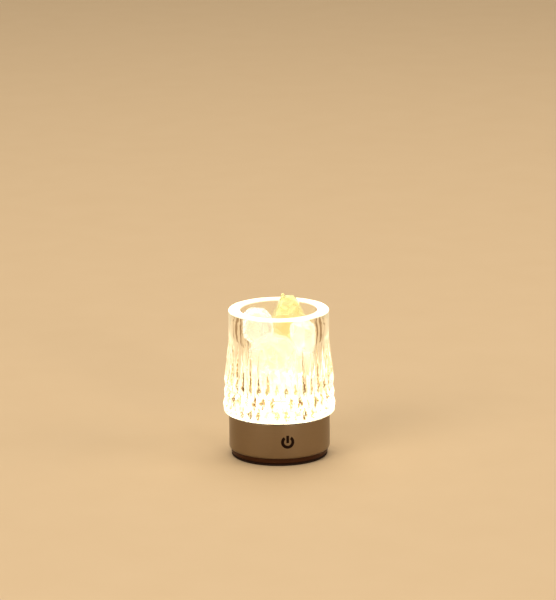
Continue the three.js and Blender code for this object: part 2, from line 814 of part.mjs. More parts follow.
// Cut glass cup. Its skin is a net of rings of points, from the middle of the underside up the outside,
// over the rim and down the bore. Two families of slanting V grooves cross on three rows round the foot and
// leave pointed lozenges between them, and from each crossing of the top row a flute runs up and tapers out.
function cutGlassCup() {
  const columns = 2 * cutCount;
  const places = [];
  const faces = [];
  const point = (radius, angle, z) => {
    places.push(radius * Math.cos(angle), radius * Math.sin(angle), z);
    return places.length / 3 - 1;
  };
  const ring = (z, radiusAt, count = columns) => Array.from({ length: count }, (unused, column) => (
    point(radiusAt(column), cutTurn + (column * 2 * Math.PI) / count, z)
  ));
  const even = (radius) => () => radius;
  const crossingsOn = (parity, peak) => (column) => (column % 2 === parity ? peak - cutDepth : peak);
  const next = (list, column) => list[(column + 1) % list.length];
  const plainBand = (low, high) => low.forEach((vertex, column) => {
    faces.push([vertex, next(low, column), next(high, column)]);
    faces.push([vertex, next(high, column), high[column]]);
  });
  const cutBand = (low, high, highParity) => low.forEach((vertex, column) => {
    const [lowNext, highHere, highNext] = [next(low, column), high[column], next(high, column)];
    if (column % 2 === highParity) faces.push([vertex, lowNext, highHere], [lowNext, highNext, highHere]);
    else faces.push([vertex, lowNext, highNext], [vertex, highNext, highHere]);
  });

  // Underside: a flat seat round a shallow hollow
  const hollowRadius = cupFootRadius - cupFootRecessStep;
  const underMiddle = point(0, 0, cupZ + cupFootRecess);
  const hollow = ring(cupZ + cupFootRecess, even(hollowRadius));
  const seatInner = ring(cupZ, even(hollowRadius));
  const seatOuter = ring(cupZ, even(cupFootRadius));
  hollow.forEach((vertex, column) => faces.push([underMiddle, next(hollow, column), vertex]));
  plainBand(hollow, seatInner);
  plainBand(seatInner, seatOuter);

  // Rounded foot edge, where the grooves run out: a ridge on each column and a groove between each two
  const lowPeak = shellRadius + lowRowBulge;
  const lowRowZ = cupZ + lowRowHeight;
  const edgeDrop = (cutDepth * (lowRowHeight - cupFootEdge)) / cutRowPitch;
  const edgeRidge = lowPeak - edgeDrop - cutDepth / roundSteps;
  const edge = ring(
    cupZ + cupFootEdge,
    (column) => (column % 2 === 0 ? edgeRidge : edgeRidge - cutDepth / 2),
    2 * columns,
  );
  const lowRow = ring(lowRowZ, crossingsOn(0, lowPeak));
  seatOuter.forEach((vertex, column) => {
    const [left, groove, right] = [edge[2 * column], edge[2 * column + 1], next(edge, 2 * column + 1)];
    const [seatNext, rowHere, rowNext] = [next(seatOuter, column), lowRow[column], next(lowRow, column)];
    faces.push([vertex, groove, left], [vertex, seatNext, groove], [seatNext, right, groove]);
    faces.push([left, groove, rowHere], [groove, right, rowNext], [groove, rowNext, rowHere]);
  });

  // Lozenges: the crossings and the peaks change places from row to row
  const middleRow = ring(lowRowZ + cutRowPitch, crossingsOn(1, shellRadius + middleRowBulge));
  const highRowZ = lowRowZ + 2 * cutRowPitch;
  const highRow = ring(highRowZ, crossingsOn(0, shellRadius + highRowBulge));
  cutBand(lowRow, middleRow, 1);
  cutBand(middleRow, highRow, 0);

  // Flutes: each pair of faces meets in a groove from a crossing up to the flute's tip
  const tips = ring(highRowZ + fluteLength, even(cupRimRadius));
  highRow.forEach((vertex, column) => {
    const [vertexNext, tip, tipNext] = [next(highRow, column), tips[column], next(tips, column)];
    if (column % 2 === 0) faces.push([vertex, vertexNext, tip], [vertexNext, tipNext, tip]);
    else faces.push([vertex, vertexNext, tipNext], [vertex, tipNext, tip]);
  });

  // Plain neck, rounded rim, bore and floor
  const rimOutside = corner(cupRimRadius - rimOuterRound, cupTopZ - rimOuterRound, rimOuterRound, 0, 1);
  const rimInside = corner(boreRadius + rimInnerRound, cupTopZ - rimInnerRound, rimInnerRound, 1, 2);
  const floorCorner = corner(boreFloorRadius - boreCorner, boreFloorZ + boreCorner, boreCorner, 0, -1);
  let below = tips;
  for (const [radius, z] of [...rimOutside, ...rimInside, ...floorCorner]) {
    const above = ring(z, even(radius));
    plainBand(below, above);
    below = above;
  }
  const floorMiddle = point(0, 0, boreFloorZ);
  below.forEach((vertex, column) => faces.push([vertex, next(below, column), floorMiddle]));

  const geometry = new THREE.BufferGeometry();
  geometry.setAttribute('position', new THREE.Float32BufferAttribute(places, 3));
  geometry.setIndex(faces.flat());
  return geometry;
}

// The cup's inner space as the stones meet it: flat facets inside the bore, going on up past the rim
function stoneSpace() {
  const wall = boreRadius - seatGap;
  const top = cupTopZ + cupHeight;
  return solid(revolve([
    [0, boreFloorZ + seatGap],
    [boreFloorRadius - boreCorner, boreFloorZ + seatGap],
    [boreFloorRadius - seatGap, boreFloorZ + boreCorner],
    [wall, cupTopZ],
    [wall, top],
    [0, top],
  ], stoneWallFacets));
}

// A small repeatable series of numbers from 0 to 1
function* series(seed) {
  const multiplier = 48271;
  const modulus = 2 ** 31 - 1;
  let state = seed;
  for (;;) {
    state = (state * multiplier) % modulus;
    yield state / modulus;
  }
}

// Directions spread over a sphere, each turned a little at random
function spreadDirections(count, random) {
  const goldenAngle = Math.PI * (3 - Math.sqrt(5));
  return Array.from({ length: count }, (unused, number) => {
    const up = 1 - (2 * (number + 0.5)) / count;
    const around = Math.sqrt(1 - up * up);
    const angle = number * goldenAngle + random.next().value;
    return new THREE.Vector3(around * Math.cos(angle), around * Math.sin(angle), up);
  });
}

// A point of a stone, from its place in a shape that is one unit out on each side
function narrowedPoint({ x, y, z }, stone) {
  const width = stone.halfWidth * (1 - stone.narrowed * Math.max(0, z));
  return new THREE.Vector3(width * x, width * y, stone.halfHeight * z);
}

// One rough chunk before it meets its neighbours: flat breaks all round an egg shape or a squarer one
function brokenChunk(stone, random) {
  const outline = spreadDirections(stoneOutlinePoints, random).map((direction) => {
    const powers = direction.toArray().map((part) => Math.abs(part) ** stone.boxed);
    const reach = powers.reduce((sum, power) => sum + power) ** (-1 / stone.boxed);
    return narrowedPoint(direction.clone().multiplyScalar(reach), stone);
  });
  const whole = new THREE.BoxGeometry(2, 2, 2, 1, 1, 2);
  const corners = whole.attributes.position;
  for (let number = 0; number < corners.count; number += 1) {
    const corner = narrowedPoint(new THREE.Vector3().fromBufferAttribute(corners, number), stone);
    corners.setXYZ(number, ...corner.toArray());
  }
  return spreadDirections(stone.faces, random).reduce((chunk, face) => {
    const furthest = Math.max(...outline.map((point) => point.dot(face)));
    const depth = furthest * (1 - stone.rough * random.next().value);
    return chunk.trimByPlane(face.clone().negate().toArray(), -depth);
  }, solid(whole)).translate(stone.centre.toArray());
}

// How far a stone's egg shape reaches from its centre along a direction
function reachAlong(stone, direction) {
  const flat = (direction.x ** 2 + direction.y ** 2) / stone.halfWidth ** 2;
  return 1 / Math.sqrt(flat + direction.z ** 2 / stone.halfHeight ** 2);
}

// Everything past a flat face: a block that starts at a point and runs on along a direction
function pastFace(start, direction) {
  const size = 2 * cupHeight;
  const past = new THREE.BoxGeometry(size, size, size);
  past.translate(0, 0, size / 2);
  past.applyQuaternion(new THREE.Quaternion().setFromUnitVectors(new THREE.Vector3(0, 0, 1), direction));
  past.translate(start.x, start.y, start.z);
  return solid(past);
}

// Two stones meet on a flat face between their centres. It is upright between two that lift out singly.
function meetingFace(stone, other) {
  const between = other.centre.clone().sub(stone.centre);
  const along = between.clone().normalize();
  const share = reachAlong(stone, along) / (reachAlong(stone, along) + reachAlong(other, along));
  const middle = stone.centre.clone().addScaledVector(between, share);
  if (stone.lifts && other.lifts) along.setZ(0).normalize();
  return { start: middle.addScaledVector(along, -seatGap / 2), along };
}

// A stone's place and size in the cup, worked out from its shares
function placedStone({ place: [across, back, up], half: [wide, high], ...rest }) {
  const depth = cupTopZ - boreFloorZ;
  return {
    ...rest,
    centre: new THREE.Vector3(across * boreRadius, back * boreRadius, boreFloorZ + up * depth),
    halfWidth: wide * boreRadius,
    halfHeight: high * depth,
  };
}

// Stones: rough lumps of clear crystal that lie on the cup's floor, on its wall and on each other
function stonePieces() {
  const stones = stoneShares.map(placedStone);
  const space = stoneSpace();
  return stones.map((stone, number) => {
    const random = series(number + 1);
    let chunk = brokenChunk(stone, random);
    if (stone.shard) chunk = chunk.add(brokenChunk(placedStone(stone.shard), random));
    chunk = chunk.intersect(space);
    for (const other of stones) {
      if (other === stone) continue;
      const { start, along } = meetingFace(stone, other);
      chunk = chunk.subtract(pastFace(start, along));
    }
    const geometry = shapeOf(chunk);
    geometry.rotateZ(stonesTurn);
    return piece(stone.name, geometry, materials.stone);
  });
}

// The base from the table up, then what stands on it
const base = new THREE.Group();
base.add(piece('foot_pad', footPad(), materials.pad));
base.add(piece('bottom_cover', bottomCover(), materials.cover));
base.add(piece('base_shell', baseShell(), materials.shell));
base.add(piece('inner_frame', innerFrame(), materials.frame));
base.add(piece('battery_cell', batteryCell(), materials.cell));
coverScrewPlaces.forEach(({ x, y }, number) => {
  const geometry = screw(coverHeadRadius, coverHeadHeight, coverScrewRadius, coverScrewLength);
  const mesh = piece(`cover_screw_${number + 1}`, geometry, materials.steel);
  mesh.position.set(x, y, coverBottomZ + coverHeadHeight);
  base.add(mesh);
});
const tabX = cellLength / 2 + solderGap + tabThickness / 2;
for (const [name, side] of [['cell_tab_plus', 1], ['cell_tab_minus', -1]]) {
  const tab = new THREE.BoxGeometry(tabThickness, tabWidth, tabWidth);
  tab.translate(side * tabX, 0, cellZ);
  base.add(piece(name, tab, materials.steel));
}
const foam = block(foamLength, foamWidth, foamZ, foamZ + foamThickness, 0, 0);
base.add(piece('cell_foam', foam, materials.foam));
base.add(piece('main_board', mainBoard(), materials.board));
boardScrewPlaces().forEach(({ x, y }, number) => {
  const geometry = screw(smallHeadRadius, smallHeadHeight, smallScrewRadius, smallScrewLength);
  geometry.rotateX(Math.PI);
  const mesh = piece(`board_screw_${number + 1}`, geometry, materials.steel);
  mesh.position.set(x, y, boardTopZ + solderGap);
  base.add(mesh);
});
base.add(piece('port_shell', portShell(), materials.steel));
base.add(piece('port_tongue', portTongue(), materials.chip));
const boardMiddleY = (cellRadius + boardCellClearance + portMouthY() - portLength) / 2 + coilRadius;
base.add(piece('charge_chip', partOnBoard(chipSize, -chipSize[0], boardMiddleY), materials.chip));
base.add(piece('power_coil', powerCoil(boardWidth / 2 - 2 * coilRadius, boardMiddleY), materials.copper));
const capacitorY = boardMiddleY - coilRadius - capacitorSize[1];
base.add(piece('board_capacitor', partOnBoard(capacitorSize, 0, capacitorY), materials.ceramic));
base.add(piece('touch_board', touchBoard(), materials.board));
const touchChip = new THREE.BoxGeometry(...touchChipSize);
touchChip.translate(
  0, touchBoardY() + touchBoardThickness / 2 + solderGap + touchChipSize[1] / 2, touchSpotHeight,
);
base.add(piece('touch_chip', touchChip, materials.chip));
base.add(piece('touch_spring', touchSpring(), materials.steel));
base.add(piece('led_board', ledBoard(), materials.ledBoard));
ringOfPlaces(ledCount, ledRingRadius, 0).forEach((place, number) => {
  base.add(piece(`led_${number + 1}`, ledPiece(place), materials.led));
});
ledScrewPlaces.forEach(({ x, y }, number) => {
  const geometry = screw(smallHeadRadius, smallHeadHeight, smallScrewRadius, smallScrewLength);
  geometry.rotateX(Math.PI);
  const mesh = piece(`led_screw_${number + 1}`, geometry, materials.steel);
  mesh.position.set(x, y, ledBoardTopZ + solderGap);
  base.add(mesh);
});
base.add(piece('cell_lead_plus', cellLead(1), materials.redLead));
base.add(piece('cell_lead_minus', cellLead(-1), materials.blackLead));
base.add(piece('light_lead_plus', lightLead(1), materials.redLead));
base.add(piece('light_lead_minus', lightLead(-1), materials.blackLead));
base.add(piece('touch_lead', touchLead(), materials.blackLead));
base.add(piece('light_window', lightWindow(), materials.window));
base.add(piece('seat_ring', seatRing(), materials.ring));

const cup = new THREE.Group();
cup.add(piece('glass_cup', cutGlassCup(), materials.glass));
cup.add(...stonePieces());

const lamp = new THREE.Group();
lamp.add(base, cup);

export default lamp;
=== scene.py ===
import bpy
import bmesh
import math
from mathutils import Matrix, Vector, noise


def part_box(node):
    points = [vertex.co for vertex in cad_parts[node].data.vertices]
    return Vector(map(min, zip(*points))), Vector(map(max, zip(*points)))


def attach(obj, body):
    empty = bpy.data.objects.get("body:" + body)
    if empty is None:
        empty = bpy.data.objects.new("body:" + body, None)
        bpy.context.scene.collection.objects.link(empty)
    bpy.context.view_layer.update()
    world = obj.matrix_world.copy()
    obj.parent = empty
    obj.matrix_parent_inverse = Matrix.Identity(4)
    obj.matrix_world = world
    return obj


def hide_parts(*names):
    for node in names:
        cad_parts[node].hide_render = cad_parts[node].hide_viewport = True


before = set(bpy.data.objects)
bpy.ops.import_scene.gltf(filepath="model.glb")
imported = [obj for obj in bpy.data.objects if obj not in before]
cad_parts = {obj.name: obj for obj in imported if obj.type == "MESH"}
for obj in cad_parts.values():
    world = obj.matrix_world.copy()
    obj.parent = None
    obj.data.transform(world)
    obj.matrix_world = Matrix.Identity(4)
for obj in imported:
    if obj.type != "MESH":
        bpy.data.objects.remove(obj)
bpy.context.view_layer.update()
scene = bpy.context.scene


# Camera: it stands in front of the lamp, a little to the left of the printed mark, and looks 14 degrees down.
# Its place was worked out from the ellipses of the glass rim and of the foot in the photograph.
camera_turn = math.radians(-10.3)
camera_tilt = math.radians(13.95)
camera_distance = 2.624
camera_height = 0.777
camera_shift_left = 0.0004
camera_roll = math.radians(-0.45)
camera_data = bpy.data.cameras.new("camera")
camera_data.sensor_width = 36
camera_data.lens = 205.8
camera_data.clip_start = 0.1
camera_data.clip_end = 40
camera = bpy.data.objects.new("camera", camera_data)
scene.collection.objects.link(camera)
camera.location = (
    camera_distance * math.sin(camera_turn) - camera_shift_left * math.cos(camera_turn),
    -camera_distance * math.cos(camera_turn) - camera_shift_left * math.sin(camera_turn),
    camera_height,
)
camera.rotation_euler = (math.pi / 2 - camera_tilt, 0, camera_turn)
camera.rotation_euler.rotate_axis("Z", camera_roll)
scene.camera = camera
scene.view_settings.view_transform = "Standard"
scene.cycles.max_bounces = 24
scene.cycles.transmission_bounces = 24


# Table top: a pale, warm, matt board under the lamp, with the faintest mottling of a painted surface.
# Soft lights hang round it, and the room behind has the same pale colour.
def linear(colour):
    """An sRGB hex colour as the linear numbers that a node takes."""
    parts = [int(colour[at : at + 2], 16) / 255 for at in (1, 3, 5)]
    return tuple(p / 12.92 if p <= 0.04045 else ((p + 0.055) / 1.055) ** 2.4 for p in parts) + (1.0,)


def fill(tree, node, **inputs):
    """Gives a node's inputs their values or links. An input is named by its words joined with _, or by in and
    its number. A node given as a value stands for its first output."""
    for name, value in inputs.items():
        numbered = name[:2] == "in" and name[2:].isdigit()
        socket = node.inputs[int(name[2:]) if numbered else name.replace("_", " ")]
        if isinstance(value, bpy.types.Node):
            value = value.outputs[0]
        if isinstance(value, bpy.types.NodeSocket):
            tree.links.new(value, socket)
        else:
            socket.default_value = value


def put(tree, kind, settings=None, **inputs):
    """Adds a node to a tree, with its settings and its inputs."""
    node = tree.nodes.new(kind)
    for name, value in (settings or {}).items():
        setattr(node, name, value)
    fill(tree, node, **inputs)
    return node


def new_finish(name):
    """An empty material with its output, its shader and the object's own coordinates."""
    material = bpy.data.materials.new(name)
    material.use_nodes = True
    tree = material.node_tree
    tree.nodes.clear()
    shader = put(tree, "ShaderNodeBsdfPrincipled")
    put(tree, "ShaderNodeOutputMaterial", Surface=shader)
    place = put(tree, "ShaderNodeTexCoord").outputs["Object"]
    return material, tree, shader, place


of_colours = {"data_type": "RGBA"}
table_colour = "#E3C9A2"
table_shade = "#DFC49C"
room_colour = "#E3CBA6"
table_radius = 7.0
table_finish, tree, shader, place = new_finish("matt_painted_table")
mottle = put(tree, "ShaderNodeTexNoise", Vector=place, Scale=1 / 0.05, Detail=4.0)
tint = put(tree, "ShaderNodeMix", of_colours, in0=mottle, in6=linear(table_shade), in7=linear(table_colour))
fill(tree, shader, Base_Color=tint.outputs[2], Roughness=0.75, Specular_IOR_Level=0.3)
table_mesh = bpy.data.meshes.new("table_top")
sides = 64
table_turns = [2 * math.pi * side / sides for side in range(sides)]
table_mesh.from_pydata(
    [(table_radius * math.cos(turn), table_radius * math.sin(turn), 0.0) for turn in table_turns],
    [], [list(range(sides))],
)
table_mesh.materials.append(table_finish)
table_top = bpy.data.objects.new("table_top", table_mesh)
scene.collection.objects.link(table_top)

world = bpy.data.worlds.new("pale_room")
world.use_nodes = True
tree = world.node_tree
tree.nodes.clear()
rays = put(tree, "ShaderNodeLightPath")
seen = rays.outputs["Is Camera Ray"]
for way in ("Is Transmission Ray", "Is Glossy Ray"):
    seen = put(tree, "ShaderNodeMath", {"operation": "MAXIMUM"}, in0=seen, in1=rays.outputs[way])
room_light = put(tree, "ShaderNodeBackground", Color=linear("#FFF6EA"), Strength=0.42)
room_wall = put(tree, "ShaderNodeBackground", Color=linear(room_colour), Strength=0.9)
both = put(tree, "ShaderNodeMixShader", in0=seen, in1=room_light, in2=room_wall)
put(tree, "ShaderNodeOutputWorld", Surface=both)
scene.world = world

# Each light has its width in metres, its watts and its place, and looks at the middle of the lamp
lamp_middle = Vector((0, 0, 0.06))
for name, width, watts, at in (
    ("light_left", 1.6, 32.0, (-2.0, -1.5, 1.7)),
    ("light_right", 1.4, 14.0, (2.1, -1.0, 1.4)),
    ("light_front", 0.3, 9.0, (0.75, -2.5, 0.8)),
    ("light_above", 1.8, 24.0, (0.2, 0.9, 2.4)),
):
    lamp_data = bpy.data.lights.new(name, "AREA")
    lamp_data.size = width
    lamp_data.energy = watts
    lamp_data.color = linear("#FFF4E6")[:3]
    light = bpy.data.objects.new(name, lamp_data)
    scene.collection.objects.link(light)
    light.location = at
    light.rotation_euler = (lamp_middle - Vector(at)).to_track_quat("-Z", "Y").to_euler()

# Brown card strips stand in pairs behind the lamp, as they do when glass is photographed, and give the glass
# its dark streaks. Each pair has its degrees from straight behind, and its width. Nothing else sees them.
card_finish = bpy.data.materials.new("glowing_brown_card")
card_finish.use_nodes = True
tree = card_finish.node_tree
tree.nodes.clear()
# The cards' brown is a painted glow, the same under any light, so no lamp or shade changes it
card_glow = put(tree, "ShaderNodeEmission", Color=linear("#7E4A18"), Strength=1.0)
put(tree, "ShaderNodeOutputMaterial", Surface=card_glow)
card_reach = 0.2
card_height = 0.16
for number, (turned_by, card_width) in enumerate(((27, 0.012), (47, 0.04), (66, 0.02))):
    for side in (-1, 1):
        ends = []
        for end in (-0.5, 0.5):
            angle = side * math.radians(turned_by) - camera_turn
            middle = Vector((math.sin(angle), math.cos(angle), 0)) * card_reach
            ends.append(middle + Vector((math.cos(angle), -math.sin(angle), 0)) * card_width * end)
        card_mesh = bpy.data.meshes.new(f"card_{number}_{side}")
        card_mesh.from_pydata(
            [ends[0], ends[1], ends[1] + Vector((0, 0, card_height)), ends[0] + Vector((0, 0, card_height))],
            [], [[0, 1, 2, 3]],
        )
        card_mesh.materials.append(card_finish)
        card = bpy.data.objects.new(card_mesh.name, card_mesh)
        scene.collection.objects.link(card)
        for ray in ("camera", "diffuse", "glossy", "shadow"):
            setattr(card, "visible_" + ray, False)


# Foot pad: the disc that the lamp stands on. Dark brown rubber with a fine matt grain, pressed to shape and
# stuck under the bottom cover, hollowed a little so that it stands on its edge.
def eased(corners, steps=5):
    """A closed outline of (radius, height, round) corners as points, each rounded by its own radius."""
    points = []
    for here, (radius, height, ease) in enumerate(corners):
        corner = Vector((radius, height))
        if ease <= 0:
            points.append(corner)
            continue
        before = (Vector(corners[here - 1][:2]) - corner).normalized()
        after = (Vector(corners[(here + 1) % len(corners)][:2]) - corner).normalized()
        half = before.angle(after) / 2
        run = ease / math.tan(half)
        centre = corner + (before + after).normalized() * (ease / math.sin(half))
        start, end = (corner + before * run - centre) / ease, (corner + after * run - centre) / ease
        for step in range(steps + 1):
            points.append(centre + start.slerp(end, step / steps) * ease)
    return points


def turned(name, outline, finish, sides=180):
    """A piece turned round the lamp's axis from a closed anticlockwise outline of points in metres."""
    points, faces, rings = [], [], []
    for radius, height in outline:
        if radius < 1e-7:
            rings.append([len(points)] * sides)
            points.append((0.0, 0.0, height))
        else:
            rings.append([len(points) + side for side in range(sides)])
            for side in range(sides):
                angle = 2 * math.pi * (side + 0.5) / sides
                points.append((radius * math.cos(angle), radius * math.sin(angle), height))
    for low, high in zip(rings, rings[1:] + rings[:1]):
        for side in range(sides):
            following = (side + 1) % sides
            face = [low[side], low[following], high[following], high[side]]
            face = [corner for at, corner in enumerate(face) if corner != face[at - 1]]
            if len(face) > 2:
                faces.append(face)
    return finished(name, points, faces, finish)


def finished(name, points, faces, finish, sharp=28):
    """An object from points and faces, smooth except at edges sharper than the stated angle."""
    mesh = bpy.data.meshes.new(name)
    mesh.from_pydata([tuple(p) for p in points], [], faces)
    mesh.validate()
    mesh.polygons.foreach_set("use_smooth", [True] * len(mesh.polygons))
    mesh.set_sharp_from_angle(angle=math.radians(sharp))
    mesh.materials.append(finish)
    made = bpy.data.objects.new(name, mesh)
    scene.collection.objects.link(made)
    return made


def grained(name, dark, light, patch, grain, depth, roughness, gloss=0.5):
    """A moulded, pressed or printed surface: two close colours in soft patches, and a fine grain, in metres."""
    finish, tree, shader, place = new_finish(name)
    patches = put(tree, "ShaderNodeTexNoise", Vector=place, Scale=1 / patch, Detail=3.0)
    tint = put(tree, "ShaderNodeMix", of_colours, in0=patches, in6=linear(dark), in7=linear(light))
    grains = put(tree, "ShaderNodeTexNoise", Vector=place, Scale=1 / grain, Detail=2.0)
    relief = put(tree, "ShaderNodeBump", Height=grains, Strength=0.5, Distance=depth)
    rough = put(tree, "ShaderNodeMapRange", Value=grains, To_Min=roughness - 0.06, To_Max=roughness + 0.06)
    fill(tree, shader, Base_Color=tint.outputs[2], Roughness=rough, Specular_IOR_Level=gloss, Normal=relief)
    return finish


# Pressed rubber: soft and nearly black, so it takes a little of the warm table and has no sharp highlight
pad_rubber = grained(
    "pressed_brown_rubber", "#1B0B02", "#261204",
    patch=0.006, grain=0.0005, depth=0.0001, roughness=0.75, gloss=0.2,
)
low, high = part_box("foot_pad")
pad_radius = high.x
pad_hollow = 0.0006
pad_edge = 0.006
foot_pad = turned("foot_pad_turned", eased([
    (0, pad_hollow, 0),
    (0, high.z, 0),
    (pad_radius, high.z, 0.0002),
    (pad_radius, low.z, 0.0006),
    (pad_radius - pad_edge, low.z, 0.0003),
    (pad_radius - pad_edge, pad_hollow, 0.0002),
][::-1]), pad_rubber)
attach(foot_pad, "base")
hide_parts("foot_pad")


# Bottom cover: a dark brown moulding that closes the base. Its outer band shows under the metal, glossier
# than the pad; inside it carries the cell's cradle, the screw bosses and a rim that plugs into the shell.

# Moulded plastic: an even dark brown with a dull sheen, and a grain too fine for the eye to find
cover_plastic = grained(
    "moulded_brown_plastic", "#331500", "#3F1D02",
    patch=0.008, grain=0.0004, depth=0.00005, roughness=0.45, gloss=0.15,
)


def welded(name, node, finish, sharp=28, bevel=0.0):
    """A copy of a CAD node's mesh: its doubles merged, smooth across its small turns, its edges eased."""
    source = bmesh.new()
    source.from_mesh(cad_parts[node].data)
    bmesh.ops.remove_doubles(source, verts=source.verts, dist=0.000002)
    bmesh.ops.dissolve_limit(source, angle_limit=math.radians(0.5), verts=source.verts, edges=source.edges)
    points = [tuple(v.co) for v in source.verts]
    faces = [[v.index for v in f.verts] for f in source.faces]
    source.free()
    made = finished(name, points, faces, finish, sharp)
    if bevel:
        ease = made.modifiers.new("eased_edges", "BEVEL")
        ease.width = bevel
        ease.segments = 2
        ease.limit_method = "ANGLE"
        ease.angle_limit = math.radians(40)
        ease.harden_normals = True
    return made


bottom_cover = welded("bottom_cover_moulded", "bottom_cover", cover_plastic)
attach(bottom_cover, "base")
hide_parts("bottom_cover")


# Cover screws: four pan-head screws of zinc-plated steel, driven up through the cover's bosses into the posts
# of the inner frame. The thin plating is a little cloudy, so they look pale grey and softly bright.
def plated(name, dark, light, cloudiness, roughness):
    """Plated or bare metal: two close tones in small clouds, over fine marks from rolling or turning."""
    finish, tree, shader, place = new_finish(name)
    clouds = put(tree, "ShaderNodeTexNoise", Vector=place, Scale=1 / cloudiness, Detail=4.0)
    tint = put(tree, "ShaderNodeMix", of_colours, in0=clouds, in6=linear(dark), in7=linear(light))
    marks = put(tree, "ShaderNodeTexNoise", Vector=place, Scale=8 / cloudiness, Detail=2.0)
    relief = put(tree, "ShaderNodeBump", Height=marks, Strength=0.3, Distance=0.00002)
    rough = put(tree, "ShaderNodeMapRange", Value=clouds, To_Min=roughness - 0.07, To_Max=roughness + 0.07)
    fill(tree, shader, Base_Color=tint.outputs[2], Metallic=1.0, Roughness=rough, Normal=relief)
    return finish


def coated(finish, *names):
    """Gives CAD nodes, whose shape stays as it is, their finish."""
    for name in names:
        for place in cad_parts[name].material_slots:
            place.material = finish


zinc_steel = plated("zinc_plated_steel", "#A6A7A2", "#BCBCB7", cloudiness=0.003, roughness=0.34)
coated(zinc_steel, "cover_screw_1", "cover_screw_2", "cover_screw_3", "cover_screw_4")


# Battery cell: a steel can in a shrunk sleeve of pale blue PVC, with a nickel strip tab welded to each end
# and an adhesive foam pad on top that keeps it from rattling under the frame.

# Shrunk sleeve: smooth and glossy, with long slight ripples that bend its highlight
sleeve, tree, shader, place = new_finish("shrunk_pvc_sleeve")
ripples = put(
    tree, "ShaderNodeTexNoise",
    Vector=put(tree, "ShaderNodeMapping", Vector=place, Scale=(1 / 0.02, 1 / 0.003, 1 / 0.003)),
    Scale=1.0, Detail=2.0,
)
tint = put(tree, "ShaderNodeMix", of_colours, in0=ripples, in6=linear("#2F6596"), in7=linear("#3F79AC"))
relief = put(tree, "ShaderNodeBump", Height=ripples, Strength=0.2, Distance=0.0002)
fill(tree, shader, Base_Color=tint.outputs[2], Roughness=0.32, Normal=relief)
coated(sleeve, "battery_cell")

# Rolled nickel: a bright grey, a little yellow, with soft clouds
nickel_strip = plated("rolled_nickel_strip", "#B4B0A6", "#C6C2B7", cloudiness=0.002, roughness=0.3)
coated(nickel_strip, "cell_tab_plus", "cell_tab_minus")

# Closed-cell foam: matt and dark, pitted by cells 0.6 mm wide
cell_foam, tree, shader, place = new_finish("closed_cell_foam")
cells = put(tree, "ShaderNodeTexVoronoi", {"feature": "F1"}, Vector=place, Scale=1 / 0.0006)
tint = put(tree, "ShaderNodeMix", of_colours, in0=cells, in6=linear("#3A3A3A"), in7=linear("#1E1E1E"))
relief = put(tree, "ShaderNodeBump", Height=cells, Strength=0.8, Distance=0.0003)
relief.invert = True
fill(tree, shader, Base_Color=tint.outputs[2], Roughness=0.9, Normal=relief)
coated(cell_foam, "cell_foam")


# Main board: glass-cloth board with green lacquer over its copper, on two bosses of the cover. It carries the
# charging port, the charge chip, the power coil and a capacitor.
total = {"operation": "ADD"}
bands = 3.2  # in one metre of a wave texture whose scale is 1


def lacquered(name, bare, over_copper, roughness):
    """Board lacquer: lighter over the fields of copper, about 4 mm wide, with the weave of the glass cloth, whose
    threads are 0.5 mm apart."""
    finish, tree, shader, place = new_finish(name)
    copper = put(
        tree, "ShaderNodeTexVoronoi", {"feature": "F1", "distance": "MANHATTAN"},
        Vector=place, Scale=1 / 0.004,
    )
    edge = put(tree, "ShaderNodeMapRange", Value=copper, From_Min=0.42, From_Max=0.46)
    tint = put(tree, "ShaderNodeMix", of_colours, in0=edge, in6=linear(over_copper), in7=linear(bare))
    threads = [
        put(tree, "ShaderNodeTexWave", {"bands_direction": way}, Vector=place, Scale=1 / 0.0005 / bands)
        for way in ("X", "Y")
    ]
    weave = put(tree, "ShaderNodeMath", total, in0=threads[0].outputs["Fac"], in1=threads[1].outputs["Fac"])
    relief = put(tree, "ShaderNodeBump", Height=weave, Strength=0.15, Distance=0.00003)
    fill(tree, shader, Base_Color=tint.outputs[2], Roughness=roughness, Normal=relief)
    return finish


# Green lacquer: smooth and half glossy, with the copper showing through as paler fields
green_board = lacquered("green_board_lacquer", "#17492C", "#236441", roughness=0.38)
coated(green_board, "main_board", "touch_board")
coated(zinc_steel, "board_screw_1", "board_screw_2")

# Moulded resin: nearly black and matt, as if sanded. Fired ceramic: tan, even and stony.
chip_resin = grained(
    "moulded_chip_resin", "#161616", "#212121", patch=0.002, grain=0.0002, depth=0.00003, roughness=0.55,
)
coated(chip_resin, "charge_chip", "touch_chip")
fired_ceramic = grained(
    "fired_ceramic", "#8C6C46", "#A5845B", patch=0.0012, grain=0.0002, depth=0.00002, roughness=0.5,
)
coated(fired_ceramic, "board_capacitor")

# Enamelled copper wire, wound in level turns 0.3 mm apart: bright lines with dark grooves between them
coil_wire, tree, shader, place = new_finish("enamelled_copper_wire")
turns = put(tree, "ShaderNodeTexWave", {"bands_direction": "Z"}, Vector=place, Scale=1 / 0.0003 / bands)
tint = put(
    tree, "ShaderNodeMix", of_colours, in0=turns.outputs["Fac"], in6=linear("#6E3416"), in7=linear("#B8693A"),
)
relief = put(tree, "ShaderNodeBump", Height=turns.outputs["Fac"], Strength=0.8, Distance=0.0001)
fill(tree, shader, Base_Color=tint.outputs[2], Metallic=1.0, Roughness=0.35, Normal=relief)
coated(coil_wire, "power_coil")


# Charging port: a shell pressed from thin nickel-plated steel round a black plastic tongue. It looks out of
# the slot at the back of the metal drum, and a lead that isn't part of the lamp plugs into it.

